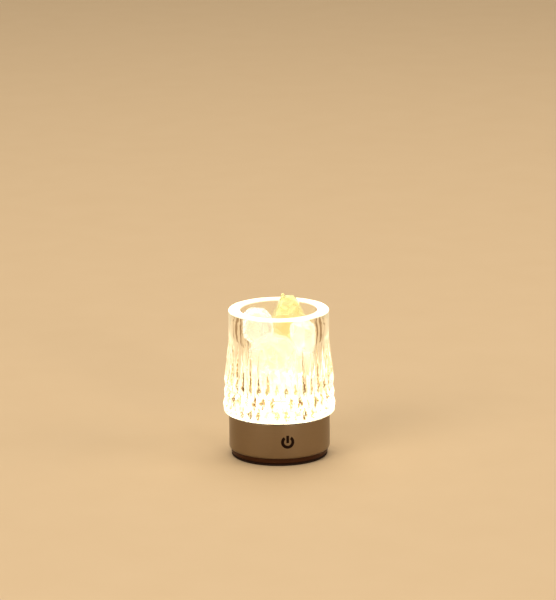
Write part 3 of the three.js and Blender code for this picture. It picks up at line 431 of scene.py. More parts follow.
# Nickel plating: the brightest metal here, with a soft mirror. The tongue in it is moulded, black and dull.
port_steel = plated("nickel_plated_steel", "#B2B1AC", "#C9C8C3", cloudiness=0.0025, roughness=0.28)
port_resin = grained(
    "moulded_port_resin", "#121212", "#1C1C1C", patch=0.002, grain=0.0002, depth=0.00002, roughness=0.45,
)
for node, finish, ease, slot in (
    ("port_shell", port_steel, 0.00006, "port_steel"),
    ("port_tongue", port_resin, 0.00005, "chip_plastic"),
):
    port_piece = welded(node + "_pressed", node, finish, 40, ease)
    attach(port_piece, "base")
    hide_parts(node)


# Touch spring: a small spring wound from steel wire. It stands on the touch board and presses on the inside
# of the drum behind the printed mark, so that the board feels a finger through the metal.

# Drawn spring steel: a darker grey than plating, with a long highlight on each turn
spring_wire = plated("drawn_spring_steel", "#8F8F8C", "#A3A3A0", cloudiness=0.0015, roughness=0.3)
coated(spring_wire, "touch_spring")


# Leads: stranded copper in soft PVC, red and black to the cell and to the light board, black to the touch
# board. Each is soldered at both ends.

# Soft PVC: one even, strong colour with a wide soft highlight
red_sleeve = grained(
    "extruded_red_pvc", "#8E1716", "#A61F1C", patch=0.004, grain=0.0003, depth=0.00002, roughness=0.42,
)
black_sleeve = grained(
    "extruded_black_pvc", "#171717", "#222222", patch=0.004, grain=0.0003, depth=0.00002, roughness=0.42,
)
coated(red_sleeve, "cell_lead_plus", "light_lead_plus")
coated(black_sleeve, "cell_lead_minus", "light_lead_minus", "touch_lead")


# Inner frame: a white moulded tray on four posts. It stands on the cover's bosses, holds the light board
# level under the window and throws stray light back up.

# Moulded plastic: warm white and half matt
frame_plastic = grained(
    "moulded_white_plastic", "#E2E0D9", "#EEECE6", patch=0.01, grain=0.0005, depth=0.00004, roughness=0.5,
)
coated(frame_plastic, "inner_frame")


# Light board: a round board with an aluminium back and white lacquer, screwed to the tray. Eight light
# emitters sit on it in a ring, each a small white case filled with yellow phosphor gel.

# White lacquer: smooth, and so pale that the copper hardly shows through
white_board = lacquered("white_board_lacquer", "#E9E9E4", "#F3F3EF", roughness=0.35)
coated(white_board, "led_board")
coated(zinc_steel, "led_screw_1", "led_screw_2", "led_screw_3")

# Phosphor gel: grainy yellow, lit from within
phosphor, tree, shader, place = new_finish("phosphor_gel_lit")
grains = put(tree, "ShaderNodeTexNoise", Vector=place, Scale=1 / 0.0003, Detail=3.0)
tint = put(tree, "ShaderNodeMix", of_colours, in0=grains, in6=linear("#EFC65A"), in7=linear("#F8DC8C"))
fill(
    tree, shader, Base_Color=tint.outputs[2], Roughness=0.3, Emission_Color=tint.outputs[2],
    Emission_Strength=4.0,
)
coated(phosphor, *[f"led_{number}" for number in range(1, 9)])


# Base shell: the champagne metal drum. It is drawn from aluminium sheet, turned in at its foot, brushed round
# its axis and anodised, so it is satin and keeps fine lines round it. The port's slot is cut in its back.
scaled_and_moved = {"operation": "MULTIPLY_ADD"}


def brushed(name, dark, light, line, length, roughness, spread):
    """Metal brushed round the lamp's axis: fine level lines, long round the drum and thin along it."""
    finish, tree, shader, place = new_finish(name)
    stretch = put(tree, "ShaderNodeMapping", Vector=place, Scale=(1 / length, 1 / length, 1 / line))
    lines = put(tree, "ShaderNodeTexNoise", Vector=stretch, Scale=1.0, Detail=3.0)
    cloud = put(tree, "ShaderNodeTexNoise", Vector=place, Scale=1 / 0.02, Detail=2.0)
    blend = put(tree, "ShaderNodeMath", scaled_and_moved, in0=lines, in1=0.55, in2=0.22)
    tint = put(tree, "ShaderNodeMix", of_colours, in0=blend, in6=linear(dark), in7=linear(light))
    relief = put(tree, "ShaderNodeBump", Height=lines, Strength=0.25, Distance=0.00003)
    rough = put(tree, "ShaderNodeMapRange", Value=cloud, To_Min=roughness - spread, To_Max=roughness + spread)
    fill(tree, shader, Base_Color=tint.outputs[2], Metallic=1.0, Roughness=rough, Normal=relief)
    return finish


# Anodised aluminium: satin with a warm champagne dye, its highlights drawn out along the brushing. The real
# lines are 0.05 mm, too fine to show, so they are drawn 0.5 mm apart.
shell_metal = brushed(
    "brushed_anodised_aluminium", "#82705A", "#8D7B65",
    line=0.0005, length=0.012, roughness=0.34, spread=0.04,
)
low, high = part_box("base_shell")
shell_radius = high.x
shell_wall = 0.0012
shell_lid = 0.0015
shell_overhang = 0.0008
shell_bottom = low.z - shell_overhang
shell_turn_height = 0.0018
shell_turn_in = 0.0016
shell_inner_turn_in = 0.0007
shell_opening = 0.0332
shell_inner = shell_radius - shell_wall
turn_top = shell_bottom + shell_turn_height
lid_start = turn_top + 0.002
turn_steps = 8


def turn_in(radius, top, bottom, reach):
    """The shell's foot, which curves in from its upright wall by a quarter of an ellipse."""
    turns = [step / turn_steps * math.pi / 2 for step in range(turn_steps + 1)]
    height = top - bottom
    return [Vector((radius - reach * (1 - math.cos(turn)), top - height * math.sin(turn))) for turn in turns]


outer_foot = turn_in(shell_radius, turn_top, shell_bottom, shell_turn_in)
inner_foot = turn_in(shell_inner, turn_top, shell_bottom, shell_inner_turn_in)
lid = eased([
    (shell_radius, lid_start, 0),
    (shell_radius, high.z, 0.0006),
    (shell_opening, high.z, 0.0002),
    (shell_opening, high.z - shell_lid, 0.0002),
    (shell_inner, high.z - shell_lid, 0.0004),
    (shell_inner, lid_start, 0),
])
base_shell = turned("base_shell_turned", outer_foot[::-1] + lid + inner_foot, shell_metal, 240)

# The port's slot: a level cut with round ends, a little wider than the port, through the back wall
slot_low, slot_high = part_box("port_shell")
slot_margin = 0.00035
slot_reach = (0.045, 0.034)
slot_half_width = (slot_high.x - slot_low.x) / 2 + slot_margin
slot_half_height = (slot_high.z - slot_low.z) / 2 + slot_margin
slot_middle = (slot_low.z + slot_high.z) / 2
slot_flat = slot_half_width - slot_half_height
cutter_outline = []
for side in (1, -1):
    for step in range(13):
        angle = -math.pi / 2 + step * math.pi / 12
        cutter_outline.append((
            side * (slot_flat + slot_half_height * math.cos(angle)),
            slot_middle + side * slot_half_height * math.sin(angle),
        ))
corners = len(cutter_outline)
slot_cutter = finished(
    "slot_cutter",
    [(x, y, z) for y in slot_reach for x, z in cutter_outline],
    [[at, (at + 1) % corners, (at + 1) % corners + corners, at + corners] for at in range(corners)]
    + [list(range(corners))[::-1], list(range(corners, 2 * corners))],
    shell_metal,
)
cut = base_shell.modifiers.new("port_slot", "BOOLEAN")
cut.operation = "DIFFERENCE"
cut.solver = "EXACT"
cut.object = slot_cutter
bpy.context.view_layer.update()
cut_mesh = bpy.data.meshes.new_from_object(base_shell.evaluated_get(bpy.context.evaluated_depsgraph_get()))
base_shell.modifiers.clear()
base_shell.data = cut_mesh
base_shell.data.set_sharp_from_angle(angle=math.radians(28))
bpy.data.objects.remove(slot_cutter)
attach(base_shell, "base")
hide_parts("base_shell")


# Touch mark: the sign for power, printed on the metal in dark brown ink over the touch spot. It doesn't move;
# a finger on it is felt through the shell by the spring behind.

# Printed ink: flat and nearly without gloss, so the mark stays dark where the metal shines
mark_ink = grained(
    "printed_brown_ink", "#140500", "#1D0900",
    patch=0.002, grain=0.0002, depth=0.00001, roughness=0.6, gloss=0.08,
)
mark_height = 0.02
mark_left = 0.0008
mark_outer = 0.0053
mark_inner = 0.0029
mark_gap = math.radians(36)
mark_bar = (-0.0011, 0.0011, -0.0008, 0.0053)
mark_depth = 0.00005


def printed(rows, columns, spot):
    """A thin film on the shell: spot gives a place across and up, in metres, for two shares from 0 to 1."""
    points, faces = [], []
    for radius in (shell_radius + mark_depth, shell_radius - mark_depth):
        for row in range(rows + 1):
            for column in range(columns + 1):
                across, up = spot(column / columns, row / rows)
                angle = (across - mark_left) / shell_radius
                points.append((radius * math.sin(angle), -radius * math.cos(angle), mark_height + up))
    layer = (rows + 1) * (columns + 1)
    for row in range(rows):
        for column in range(columns):
            at = row * (columns + 1) + column
            face = [at, at + 1, at + columns + 2, at + columns + 1]
            faces += [face, [layer + corner for corner in face[::-1]]]
    edge = (
        [(0, column) for column in range(columns)]
        + [(row, columns) for row in range(rows)]
        + [(rows, column) for column in range(columns, 0, -1)]
        + [(row, 0) for row in range(rows, 0, -1)]
    )
    for here, following in zip(edge, edge[1:] + edge[:1]):
        a, b = (row * (columns + 1) + column for row, column in (here, following))
        faces.append([a, a + layer, b + layer, b])
    return points, faces


def ring_spot(along, inwards):
    """A place on the open ring, from one side of its gap to the other and from its outer edge inwards."""
    angle = math.pi / 2 - mark_gap - along * (2 * math.pi - 2 * mark_gap)
    reach = mark_outer + (mark_inner - mark_outer) * inwards
    return reach * math.cos(angle), reach * math.sin(angle)


ring_points, ring_faces = printed(3, 72, ring_spot)
bar_left, bar_right, bar_low, bar_high = mark_bar
bar_points, bar_faces = printed(
    12, 4,
    lambda across, up: (bar_left + (bar_right - bar_left) * across, bar_low + (bar_high - bar_low) * up),
)
shifted = [[corner + len(ring_points) for corner in face] for face in bar_faces]
touch_mark = finished("touch_mark", ring_points + bar_points, ring_faces + shifted, mark_ink, 60)
outward = bmesh.new()
outward.from_mesh(touch_mark.data)
bmesh.ops.recalc_face_normals(outward, faces=outward.faces)
outward.to_mesh(touch_mark.data)
outward.free()
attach(touch_mark, "base")


# Light window: a disc of frosted acrylic, flush in the top of the shell. The emitters under it make its
# middle glow warm white and leave its edge dim, and the glass and the stones take their light from it.
product = {"operation": "MULTIPLY"}
eased_range = {"interpolation_type": "SMOOTHSTEP"}
glow_middle, glow_edge = 0.014, 0.031
middle_strength, edge_strength = 4.5, 0.6

# Frosted acrylic: it spreads the light, so that no emitter can be told apart through it
window_acrylic, tree, shader, place = new_finish("frosted_acrylic_lit")
frost = put(tree, "ShaderNodeTexNoise", Vector=place, Scale=1 / 0.0008, Detail=3.0)
glow = put(tree, "ShaderNodeMix", of_colours, in0=frost, in6=linear("#FFE9BE"), in7=linear("#FFF1D2"))
relief = put(tree, "ShaderNodeBump", Height=frost, Strength=0.4, Distance=0.00005)
from_axis = put(
    tree, "ShaderNodeVectorMath", {"operation": "LENGTH"},
    in0=put(tree, "ShaderNodeVectorMath", product, in0=place, in1=(1, 1, 0)),
)
spread = put(
    tree, "ShaderNodeMapRange", eased_range,
    Value=from_axis.outputs["Value"], From_Min=glow_middle, From_Max=glow_edge,
    To_Min=middle_strength, To_Max=edge_strength,
)
fill(
    tree, shader, Base_Color=linear("#F4ECDD"), Roughness=0.6, Normal=relief, Emission_Color=glow.outputs[2],
    Emission_Strength=spread,
)
low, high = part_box("light_window")
window_radius = 0.0329
window_flange = high.x
window_flange_height = 0.0016
light_window = turned("light_window_disc", eased([
    (0, low.z, 0),
    (window_flange, low.z, 0.0003),
    (window_flange, low.z + window_flange_height, 0.0003),
    (window_radius, low.z + window_flange_height, 0.0002),
    (window_radius, high.z, 0.0003),
    (0, high.z, 0),
]), window_acrylic)
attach(light_window, "base")
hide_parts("light_window")


# Seat ring: a thin ring of dark, matt silicone rubber, moulded flat and laid on the shell. The cup rests on
# it. Its dark rubber is its own colour, but it is drawn wider than its part, so that its edge shows under the
# glass as a line of painted shadow where the cup meets the shell.
ring_rubber = grained(
    "moulded_silicone_rubber", "#2B211A", "#362A20", patch=0.004, grain=0.0004, depth=0.00004, roughness=0.6,
)
low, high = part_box("seat_ring")
# How far the ring reaches past its part, so that its dark edge stands for the shadow line under the cup
shadow_line_overhang = 0.0014
ring_width = 0.006
ring_outer = high.x + shadow_line_overhang
ring_inner = ring_outer - ring_width
seat_ring = turned("seat_ring_turned", eased([
    (ring_inner, low.z, 0.0001),
    (ring_outer, low.z, 0.0002),
    (ring_outer, high.z, 0.0002),
    (ring_inner, high.z, 0.0001),
]), ring_rubber)
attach(seat_ring, "base")
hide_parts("seat_ring")


# Cut glass cup: a heavy cup of clear lead crystal, pressed and then cut. Two families of slanting V grooves
# cross on three rows round its foot and leave pointed lozenges, and a tapering flute runs up from each
# crossing of the top row. One cut in ten degrees is made as a mesh, and a node tree repeats it round the cup.
cut_count = 36
cut_turn = math.radians(7.2)
cut_depth = 0.0023
row_pitch = 0.0098
low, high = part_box("glass_cup")
cup_bottom, cup_top = low.z, high.z
low_row = cup_bottom + 0.007
foot_edge = cup_bottom + 0.0022
foot_fade = 0.0028
foot_fall = 0.00075
high_row = low_row + 2 * row_pitch
flute_tip = high_row + 0.0327
row_peaks = (0.0447, 0.0438, 0.0435)
seat_radius = 0.0395
hollow_radius = 0.0339
hollow_height = 0.0011
neck_radius = 0.03975
neck_rises = (0, 0.007, 0.015)
rim_outer_round = 0.00125
rim_inner_round = 0.0009
bore_radius = 0.03045
bore_floor_radius = 0.02785
bore_floor = cup_bottom + 0.0118
bore_corner = 0.006
longest_piece = 0.012
half_columns = 10
columns = 2 * half_columns + 1


def wave(number):
    """Distance to the nearest even number, which rises and falls between 0 and 1."""
    return abs((number + 1) % 2 - 1)


def outer_radius(across, height):
    """The cut outside of the cup: across is 0 on a crossing's column and 1 on a peak's."""
    row = (height - low_row) / row_pitch
    if height >= high_row:
        risen = (height - high_row) / (flute_tip - high_row)
        ridge = row_peaks[2] + (neck_radius - row_peaks[2]) * risen
        return ridge - cut_depth * max(0.0, 1 - risen - wave(across))
    fade = min(1.0, max(0.0, (height - foot_edge) / foot_fade))
    groove = fade * cut_depth * (1 - min(wave(across + row), wave(across - row)))
    if row >= 0:
        lower = min(int(row), 1)
        return row_peaks[lower] + (row_peaks[lower + 1] - row_peaks[lower]) * (row - lower) - groove
    if height >= foot_edge:
        fall = (low_row - height) / (low_row - foot_edge)
        return row_peaks[0] - foot_fall * fall * fall - groove
    drop = (foot_edge - height) / (foot_edge - cup_bottom)
    edge = row_peaks[0] - foot_fall - groove
    return seat_radius + (edge - seat_radius) * math.sqrt(max(0.0, 1 - drop * drop))


rows = [[(hollow_radius * step / 4, cup_bottom + hollow_height)] * columns for step in range(5)]
rows.append([(hollow_radius, cup_bottom)] * columns)
first_cut_row = len(rows)
heights = [cup_bottom + (foot_edge - cup_bottom) * math.sin(step / 6 * math.pi / 2) ** 2 for step in range(6)]
heights += [foot_edge + (low_row - foot_edge) * step / 5 for step in range(5)]
heights += [low_row + row_pitch * step / half_columns for step in range(2 * half_columns)]
heights += [high_row + (flute_tip - high_row) * step / half_columns for step in range(half_columns)]
for height in heights:
    rows.append([(outer_radius(column / half_columns, height), height) for column in range(columns)])
rim_and_bore = [Vector((neck_radius, flute_tip + rise)) for rise in neck_rises] + eased([
    (0, flute_tip, 0),
    (neck_radius, flute_tip, 0),
    (neck_radius, cup_top, rim_outer_round),
    (bore_radius, cup_top, rim_inner_round),
    (bore_floor_radius, bore_floor, bore_corner),
    (0, bore_floor, 0),
], 6)[2:-1]
smooth_part = []
for here, following in zip(rim_and_bore, rim_and_bore[1:]):
    pieces = max(1, round((following - here).length / longest_piece))
    smooth_part += [here.lerp(following, step / pieces) for step in range(pieces)]
smooth_part += [rim_and_bore[-1].lerp(Vector((0, bore_floor)), step / 4) for step in range(5)]
rows += [[(point.x, point.y)] * columns for point in smooth_part]

# The faces are split along the grooves and the ridges, so that these stay straight and crisp
points, faces = [], []
for row in rows:
    for column, (radius, height) in enumerate(row):
        angle = cut_turn + column / half_columns * math.pi / cut_count
        points.append((radius * math.cos(angle), radius * math.sin(angle), height))
for row in range(len(rows) - 1):
    for column in range(columns - 1):
        at = row * columns + column
        a, b, c, d = at, at + 1, at + columns + 1, at + columns
        middle = (rows[row][column][1] + rows[row + 1][column][1]) / 2
        across = (column + 0.5) / half_columns
        level = (middle - low_row) / row_pitch
        rising = True
        if first_cut_row <= row < first_cut_row + len(heights):
            rising = across > 1 if middle > high_row else wave(across - level) < wave(across + level)
        faces += [[a, b, c], [a, c, d]] if rising else [[a, b, d], [b, c, d]]

# Lead crystal: clear, with slight waves 11 mm apart from its polish. The light that runs up inside the wall
# comes out at the cuts, so lozenges and flutes look white, and each groove crossing turns it away and looks
# amber: that amber and dark is painted shade in the glass's colour, and the glows are painted light for what the
# glass scatters. A band holds the heights between which one fades.
foot_band = (0.04, 0.09)
neck_band = (0.085, 0.1)
rim_band = (0.1165, 0.118)
corner_band = (bore_floor + 0.002, bore_floor + 0.005)
floor_band = (bore_floor - 0.003, bore_floor - 0.001)
spot_band = (foot_edge, foot_edge + 0.0015)
crystal, tree, shader, place = new_finish("cut_lead_crystal")
waves = put(tree, "ShaderNodeTexNoise", Vector=place, Scale=1 / 0.011, Detail=1.5)
relief = put(tree, "ShaderNodeBump", Height=waves, Strength=0.12, Distance=0.002)
parts = put(tree, "ShaderNodeSeparateXYZ", Vector=place)
up = parts.outputs["Z"]

# The place on the cut pattern, as in outer_radius, bent a little so that the spots aren't quite regular
angle = put(tree, "ShaderNodeMath", {"operation": "ARCTAN2"}, in0=parts.outputs["Y"], in1=parts.outputs["X"])
across = put(
    tree, "ShaderNodeMath", scaled_and_moved,
    in0=angle, in1=cut_count / math.pi, in2=-cut_turn * cut_count / math.pi,
)
bend = put(tree, "ShaderNodeTexNoise", Vector=place, Scale=1 / 0.006, Detail=1.0)
bend = put(tree, "ShaderNodeMath", scaled_and_moved, in0=bend, in1=0.8, in2=-0.4)
across = put(tree, "ShaderNodeMath", total, in0=across, in1=bend)
row = put(tree, "ShaderNodeMapRange", Value=up, From_Min=low_row, From_Max=high_row, To_Min=0.0, To_Max=2.0)
row.clamp = False
row = put(tree, "ShaderNodeMath", {"operation": "MINIMUM"}, in0=row, in1=2.0)
risen = put(tree, "ShaderNodeMapRange", Value=up, From_Min=high_row, From_Max=flute_tip)
slants, nearest = [], []
for operation in ("ADD", "SUBTRACT"):
    slant = put(tree, "ShaderNodeMath", {"operation": operation}, in0=across, in1=row)
    slants.append(put(tree, "ShaderNodeMath", {"operation": "PINGPONG"}, in0=slant, in1=1.0))
    half = put(tree, "ShaderNodeMath", product, in0=slant, in1=0.5)
    nearest.append(put(tree, "ShaderNodeMath", {"operation": "ROUND"}, in0=half))
from_crossing = put(tree, "ShaderNodeMath", {"operation": "MAXIMUM"}, in0=slants[0], in1=slants[1])

# Spots of painted shade at the crossings, drawn out up the flutes. Each has its own length, strength and
# darkness, from noise whose start values were picked so that the front looks like the photograph's.
own = []
for seed in (42281.0, 1102213.0, 957559.0):
    crossing = put(tree, "ShaderNodeCombineXYZ", X=nearest[0], Y=nearest[1], Z=seed)
    own.append(put(tree, "ShaderNodeTexWhiteNoise", {"noise_dimensions": "3D"}, Vector=crossing))
own_reach, own_strength, own_shade_darkness = own
reach = put(tree, "ShaderNodeMapRange", Value=own_reach, To_Min=0.12, To_Max=1.1)
low_size = put(tree, "ShaderNodeMapRange", Value=row, From_Min=1.0, From_Max=2.0, To_Min=0.85, To_Max=0.6)
spot_size = put(tree, "ShaderNodeMapRange", Value=risen, From_Max=reach, To_Min=low_size, To_Max=0.0)
spots = []
for shares in ((0.45, 1.0), (0.2, 0.75)):
    ends = [put(tree, "ShaderNodeMath", product, in0=spot_size, in1=share) for share in shares]
    spots.append(put(
        tree, "ShaderNodeMapRange", eased_range,
        Value=from_crossing, From_Min=ends[0], From_Max=ends[1], To_Min=1.0, To_Max=0.0,
    ))
row_strength = put(tree, "ShaderNodeMapRange", Value=row, From_Max=2.0, To_Min=-0.3, To_Max=0.35)
strength = put(
    tree, "ShaderNodeMath", {"operation": "ADD", "use_clamp": True}, in0=own_strength, in1=row_strength,
)
glints = put(
    tree, "ShaderNodeTexNoise", Scale=1.0, Detail=1.0,
    Vector=put(tree, "ShaderNodeMapping", Vector=place, Scale=(1 / 0.0012, 1 / 0.0012, 1 / 0.0022)),
)
broken = put(
    tree, "ShaderNodeMapRange", eased_range,
    Value=glints, From_Min=0.38, From_Max=0.48, To_Min=0.15, To_Max=1.0,
)
above_foot = put(tree, "ShaderNodeMapRange", Value=up, From_Min=spot_band[0], From_Max=spot_band[1])
spot, painted_dark_core = spots
for share in (strength, broken, above_foot):
    spot = put(tree, "ShaderNodeMath", product, in0=spot, in1=share)
spot = put(tree, "ShaderNodeMath", {"operation": "MULTIPLY", "use_clamp": True}, in0=spot, in1=2.2)

# Glow of the cut part, strongest at the foot, then of the rim, of the neck where it is seen edge on, and of
# the bore's bottom corner, where the glare hides the ring below
from_tip = put(tree, "ShaderNodeMath", scaled_and_moved, in0=risen, in1=1.15, in2=from_crossing)
in_cuts = put(
    tree, "ShaderNodeMapRange", eased_range,
    Value=from_tip, From_Min=1.02, From_Max=1.15, To_Min=1.0, To_Max=0.0,
)
from_axis = put(
    tree, "ShaderNodeVectorMath", {"operation": "LENGTH"},
    in0=put(tree, "ShaderNodeVectorMath", product, in0=place, in1=(1, 1, 0)),
)
outside = put(tree, "ShaderNodeMapRange", Value=from_axis.outputs["Value"], From_Min=0.036, From_Max=0.037)
foot_light = put(
    tree, "ShaderNodeMapRange", eased_range,
    Value=up, From_Min=foot_band[0], From_Max=foot_band[1], To_Min=0.42, To_Max=0.1,
)
unlit = put(tree, "ShaderNodeMath", {"operation": "SUBTRACT"}, in0=1.0, in1=spot)
glow = foot_light
for share in (in_cuts, unlit, outside):
    glow = put(tree, "ShaderNodeMath", product, in0=glow, in1=share)
rim_glow = put(
    tree, "ShaderNodeMapRange", eased_range,
    Value=up, From_Min=rim_band[0], From_Max=rim_band[1], To_Min=0.0, To_Max=1.1,
)
glow = put(tree, "ShaderNodeMath", total, in0=glow, in1=rim_glow)
edge_on = put(tree, "ShaderNodeLayerWeight", Blend=0.5)
edge_glow = put(
    tree, "ShaderNodeMapRange", eased_range,
    Value=edge_on.outputs["Facing"], From_Min=0.5, From_Max=0.75, To_Min=0.0, To_Max=0.2,
)
on_neck = put(tree, "ShaderNodeMapRange", eased_range, Value=up, From_Min=neck_band[0], From_Max=neck_band[1])
for share in (on_neck, outside):
    edge_glow = put(tree, "ShaderNodeMath", product, in0=edge_glow, in1=share)
glow = put(tree, "ShaderNodeMath", total, in0=glow, in1=edge_glow)
above_floor = put(tree, "ShaderNodeMapRange", Value=up, From_Min=floor_band[0], From_Max=floor_band[1])
corner_glow = put(
    tree, "ShaderNodeMapRange", eased_range,
    Value=up, From_Min=corner_band[0], From_Max=corner_band[1], To_Min=0.45, To_Max=0.0,
)
inside = put(tree, "ShaderNodeMath", {"operation": "SUBTRACT"}, in0=1.0, in1=outside)
for share in (above_floor, inside):
    corner_glow = put(tree, "ShaderNodeMath", product, in0=corner_glow, in1=share)
glow = put(tree, "ShaderNodeMath", total, in0=glow, in1=corner_glow)

# Painted shade: amber spots over the clear glass where the crossings turn the light away, with a painted dark
# core in some
painted_amber_shade = put(tree, "ShaderNodeMath", product, in0=outside, in1=spot)
dark = outside
for share in (painted_dark_core, broken, above_foot):
    dark = put(tree, "ShaderNodeMath", product, in0=dark, in1=share)
dark_core_share = put(tree, "ShaderNodeMapRange", Value=own_shade_darkness, From_Min=0.3, From_Max=0.8)
dark = put(tree, "ShaderNodeMath", product, in0=dark, in1=dark_core_share)
in_flute = put(tree, "ShaderNodeMapRange", Value=risen, From_Max=0.08)
# Colours of the painted shade: olive to brown at the crossings by each spot's own darkness, pale amber up the
# flutes
low_shade_colour = put(
    tree, "ShaderNodeMix", of_colours, in0=own_shade_darkness, in6=linear("#B9AD6C"), in7=linear("#7A5A33"),
)
painted_shade_colour = put(
    tree, "ShaderNodeMix", of_colours, in0=in_flute, in6=low_shade_colour.outputs[2], in7=linear("#CFA56C"),
)
tint = put(tree, "ShaderNodeMix", of_colours, in0=painted_amber_shade, in6=linear("#FFFDF8"), in7=painted_shade_colour.outputs[2])
# The painted dark core, a near black brown, over the amber
tint = put(tree, "ShaderNodeMix", of_colours, in0=dark, in6=tint.outputs[2], in7=linear("#2E1204"))
fill(
    tree, shader, Base_Color=tint.outputs[2], Roughness=0.0, IOR=1.52, Transmission_Weight=1.0,
    Normal=relief, Emission_Color=linear("#FFF3D6"), Emission_Strength=glow,
)

# Haze: the light that the glass scatters all through its body, which keeps its edges bright
haze = put(tree, "ShaderNodeEmission", Color=linear("#FFE8AE"), Strength=6.5)
output = next(node for node in tree.nodes if node.type == "OUTPUT_MATERIAL")
fill(tree, output, Volume=haze)

one_cut = finished("one_cut", points, faces, crystal)
merged = bmesh.new()
merged.from_mesh(one_cut.data)
bmesh.ops.remove_doubles(merged, verts=merged.verts, dist=0.0000005)
bmesh.ops.dissolve_degenerate(merged, edges=merged.edges, dist=0.0000005)
merged.to_mesh(one_cut.data)
merged.free()

tree = bpy.data.node_groups.new("cuts_round_the_cup", "GeometryNodeTree")
tree.interface.new_socket("Cut", in_out="INPUT", socket_type="NodeSocketGeometry")
cuts_input = tree.interface.new_socket("Number of cuts", in_out="INPUT", socket_type="NodeSocketInt")
weld_input = tree.interface.new_socket("Weld distance", in_out="INPUT", socket_type="NodeSocketFloat")
finish_input = tree.interface.new_socket("Crystal", in_out="INPUT", socket_type="NodeSocketMaterial")
tree.interface.new_socket("Cup", in_out="OUTPUT", socket_type="NodeSocketGeometry")
given = put(tree, "NodeGroupInput")
step_turn = put(
    tree, "ShaderNodeMath", {"operation": "DIVIDE"}, in0=2 * math.pi, in1=given.outputs["Number of cuts"]
)
number = put(tree, "GeometryNodeInputIndex")
turn = put(tree, "ShaderNodeMath", product, in0=number, in1=step_turn)
about_axis = put(tree, "ShaderNodeCombineXYZ", Z=turn)
places = put(tree, "GeometryNodeMeshLine", Count=given.outputs["Number of cuts"], Offset=(0, 0, 0))
around = put(
    tree, "GeometryNodeInstanceOnPoints", Points=places, Instance=given.outputs["Cut"], Rotation=about_axis,
)
real = put(tree, "GeometryNodeRealizeInstances", Geometry=around)
weld = put(tree, "GeometryNodeMergeByDistance", Geometry=real, Distance=given.outputs["Weld distance"])
dressed = put(tree, "GeometryNodeSetMaterial", Geometry=weld, Material=given.outputs["Crystal"])
put(tree, "NodeGroupOutput", Cup=dressed)
cutting = one_cut.modifiers.new("cuts_round_the_cup", "NODES")
cutting.node_group = tree
cutting[cuts_input.identifier] = cut_count
cutting[weld_input.identifier] = 0.000002
cutting[finish_input.identifier] = crystal
bpy.context.view_layer.update()
cup_mesh = bpy.data.meshes.new_from_object(one_cut.evaluated_get(bpy.context.evaluated_depsgraph_get()))
one_cut.modifiers.clear()
bpy.data.objects.remove(one_cut)
cup_mesh.polygons.foreach_set("use_smooth", [True] * len(cup_mesh.polygons))
cup_mesh.set_sharp_from_angle(angle=math.radians(10))
glass_cup = bpy.data.objects.new("glass_cup_cut", cup_mesh)
scene.collection.objects.link(glass_cup)
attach(glass_cup, "cup")
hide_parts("glass_cup")


# Stones: nine rough lumps of clear crystal, broken and tumbled a little so that their edges are soft. They
# are laid in the cup by hand, the three upper ones last, and they have a painted pale yellow glow for the light
# from below.
skin_grain = 0.0005
hollow_size, hollow_depth = 0.008, 0.0007
chips_per_hollow, chip_depth = 3.1, 0.00012


def broken_crystal(name, clear_tint, milky_tint, light, strength):
    """Rough crystal: clear in places and milky in others, with fine pits, and a painted glow for the light from
    below, stronger where it is milky.
    """
    finish, tree, shader, place = new_finish(name)
    cloud = put(tree, "ShaderNodeTexNoise", Vector=place, Scale=1 / 0.016, Detail=2.0, Distortion=0.8)
    milky = put(tree, "ShaderNodeMapRange", eased_range, Value=cloud, From_Min=0.4, From_Max=0.62)
    tint = put(tree, "ShaderNodeMix", of_colours, in0=milky, in6=linear(clear_tint), in7=linear(milky_tint))
    clear = put(tree, "ShaderNodeMapRange", Value=milky, To_Min=0.9, To_Max=0.7)
    pits = put(tree, "ShaderNodeTexNoise", Vector=place, Scale=1 / 0.0022, Detail=4.0)
    relief = put(tree, "ShaderNodeBump", Height=pits, Strength=0.1, Distance=0.0008)
    # Painted glow, stronger where the crystal is milky
    glow = put(tree, "ShaderNodeMapRange", Value=milky, To_Min=0.7 * strength, To_Max=1.2 * strength)
    fill(
        tree, shader, Base_Color=tint.outputs[2], Roughness=0.16, IOR=1.54, Transmission_Weight=clear,
        Normal=relief, Emission_Color=linear(light), Emission_Strength=glow,
    )
    return finish
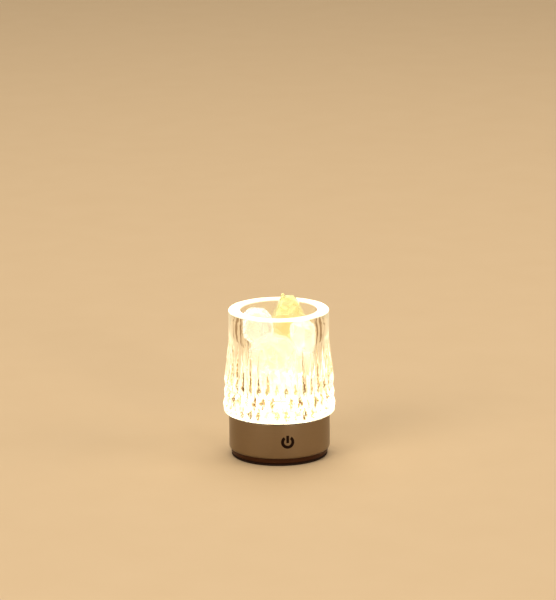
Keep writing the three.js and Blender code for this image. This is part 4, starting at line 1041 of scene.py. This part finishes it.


# Rough crystal: its small breaks soften what shows through it. The tallest stone has the tint of honey, some
# are nearly clear, and two are milky: whiter than the rest, and brighter by a stronger painted glow.
honey_crystal = broken_crystal("rough_honey_crystal", "#F4F1B0", "#FAF8D2", "#FFF7B4", 0.13)
clear_crystal = broken_crystal("rough_clear_crystal", "#FBFAE6", "#FEFDF6", "#FFFBEA", 0.15)
milky_crystal = broken_crystal("rough_milky_crystal", "#FDFCF0", "#FFFFFA", "#FFFDF2", 0.21)


def broken_stone(node, body, finish, seed, tumbling):
    """A stone from its CAD solid: its edges tumbled round, its faces broken up by hollows and chips that
    only cut inwards. The seed gives each stone its own."""
    lump = welded(node + "_rough", node, finish)
    remesh = lump.modifiers.new("fine_skin", "REMESH")
    remesh.mode = "VOXEL"
    remesh.voxel_size = skin_grain
    soften = lump.modifiers.new("tumbled", "SMOOTH")
    soften.factor = 0.5
    soften.iterations = tumbling
    bpy.context.view_layer.update()
    mesh = bpy.data.meshes.new_from_object(lump.evaluated_get(bpy.context.evaluated_depsgraph_get()))
    lump.modifiers.clear()
    lump.data = mesh
    shift = Vector((seed * 0.37, seed * 0.71, seed * 0.19))
    moved = []
    for vertex in mesh.vertices:
        spot = vertex.co / hollow_size + shift
        hollow = max(0.0, noise.noise(spot)) * hollow_depth
        hollow += max(0.0, noise.noise(spot * chips_per_hollow)) * chip_depth
        moved.extend(vertex.co - vertex.normal * hollow)
    mesh.vertices.foreach_set("co", moved)
    mesh.update()
    mesh.polygons.foreach_set("use_smooth", [True] * len(mesh.polygons))
    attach(lump, body)
    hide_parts(node)


for seed, (node, body, finish, tumbling) in enumerate((
    ("stone_top", "top_stone", honey_crystal, 2),
    ("stone_left", "left_stone", milky_crystal, 14),
    ("stone_right", "right_stone", milky_crystal, 4),
    ("stone_middle", "lower_stones", clear_crystal, 12),
    ("stone_back", "lower_stones", clear_crystal, 6),
    ("stone_low_right", "lower_stones", clear_crystal, 4),
    ("stone_floor_left", "lower_stones", clear_crystal, 6),
    ("stone_floor_right", "lower_stones", clear_crystal, 6),
    ("stone_floor_back", "lower_stones", clear_crystal, 6),
), 1):
    broken_stone(node, body, finish, seed, tumbling)
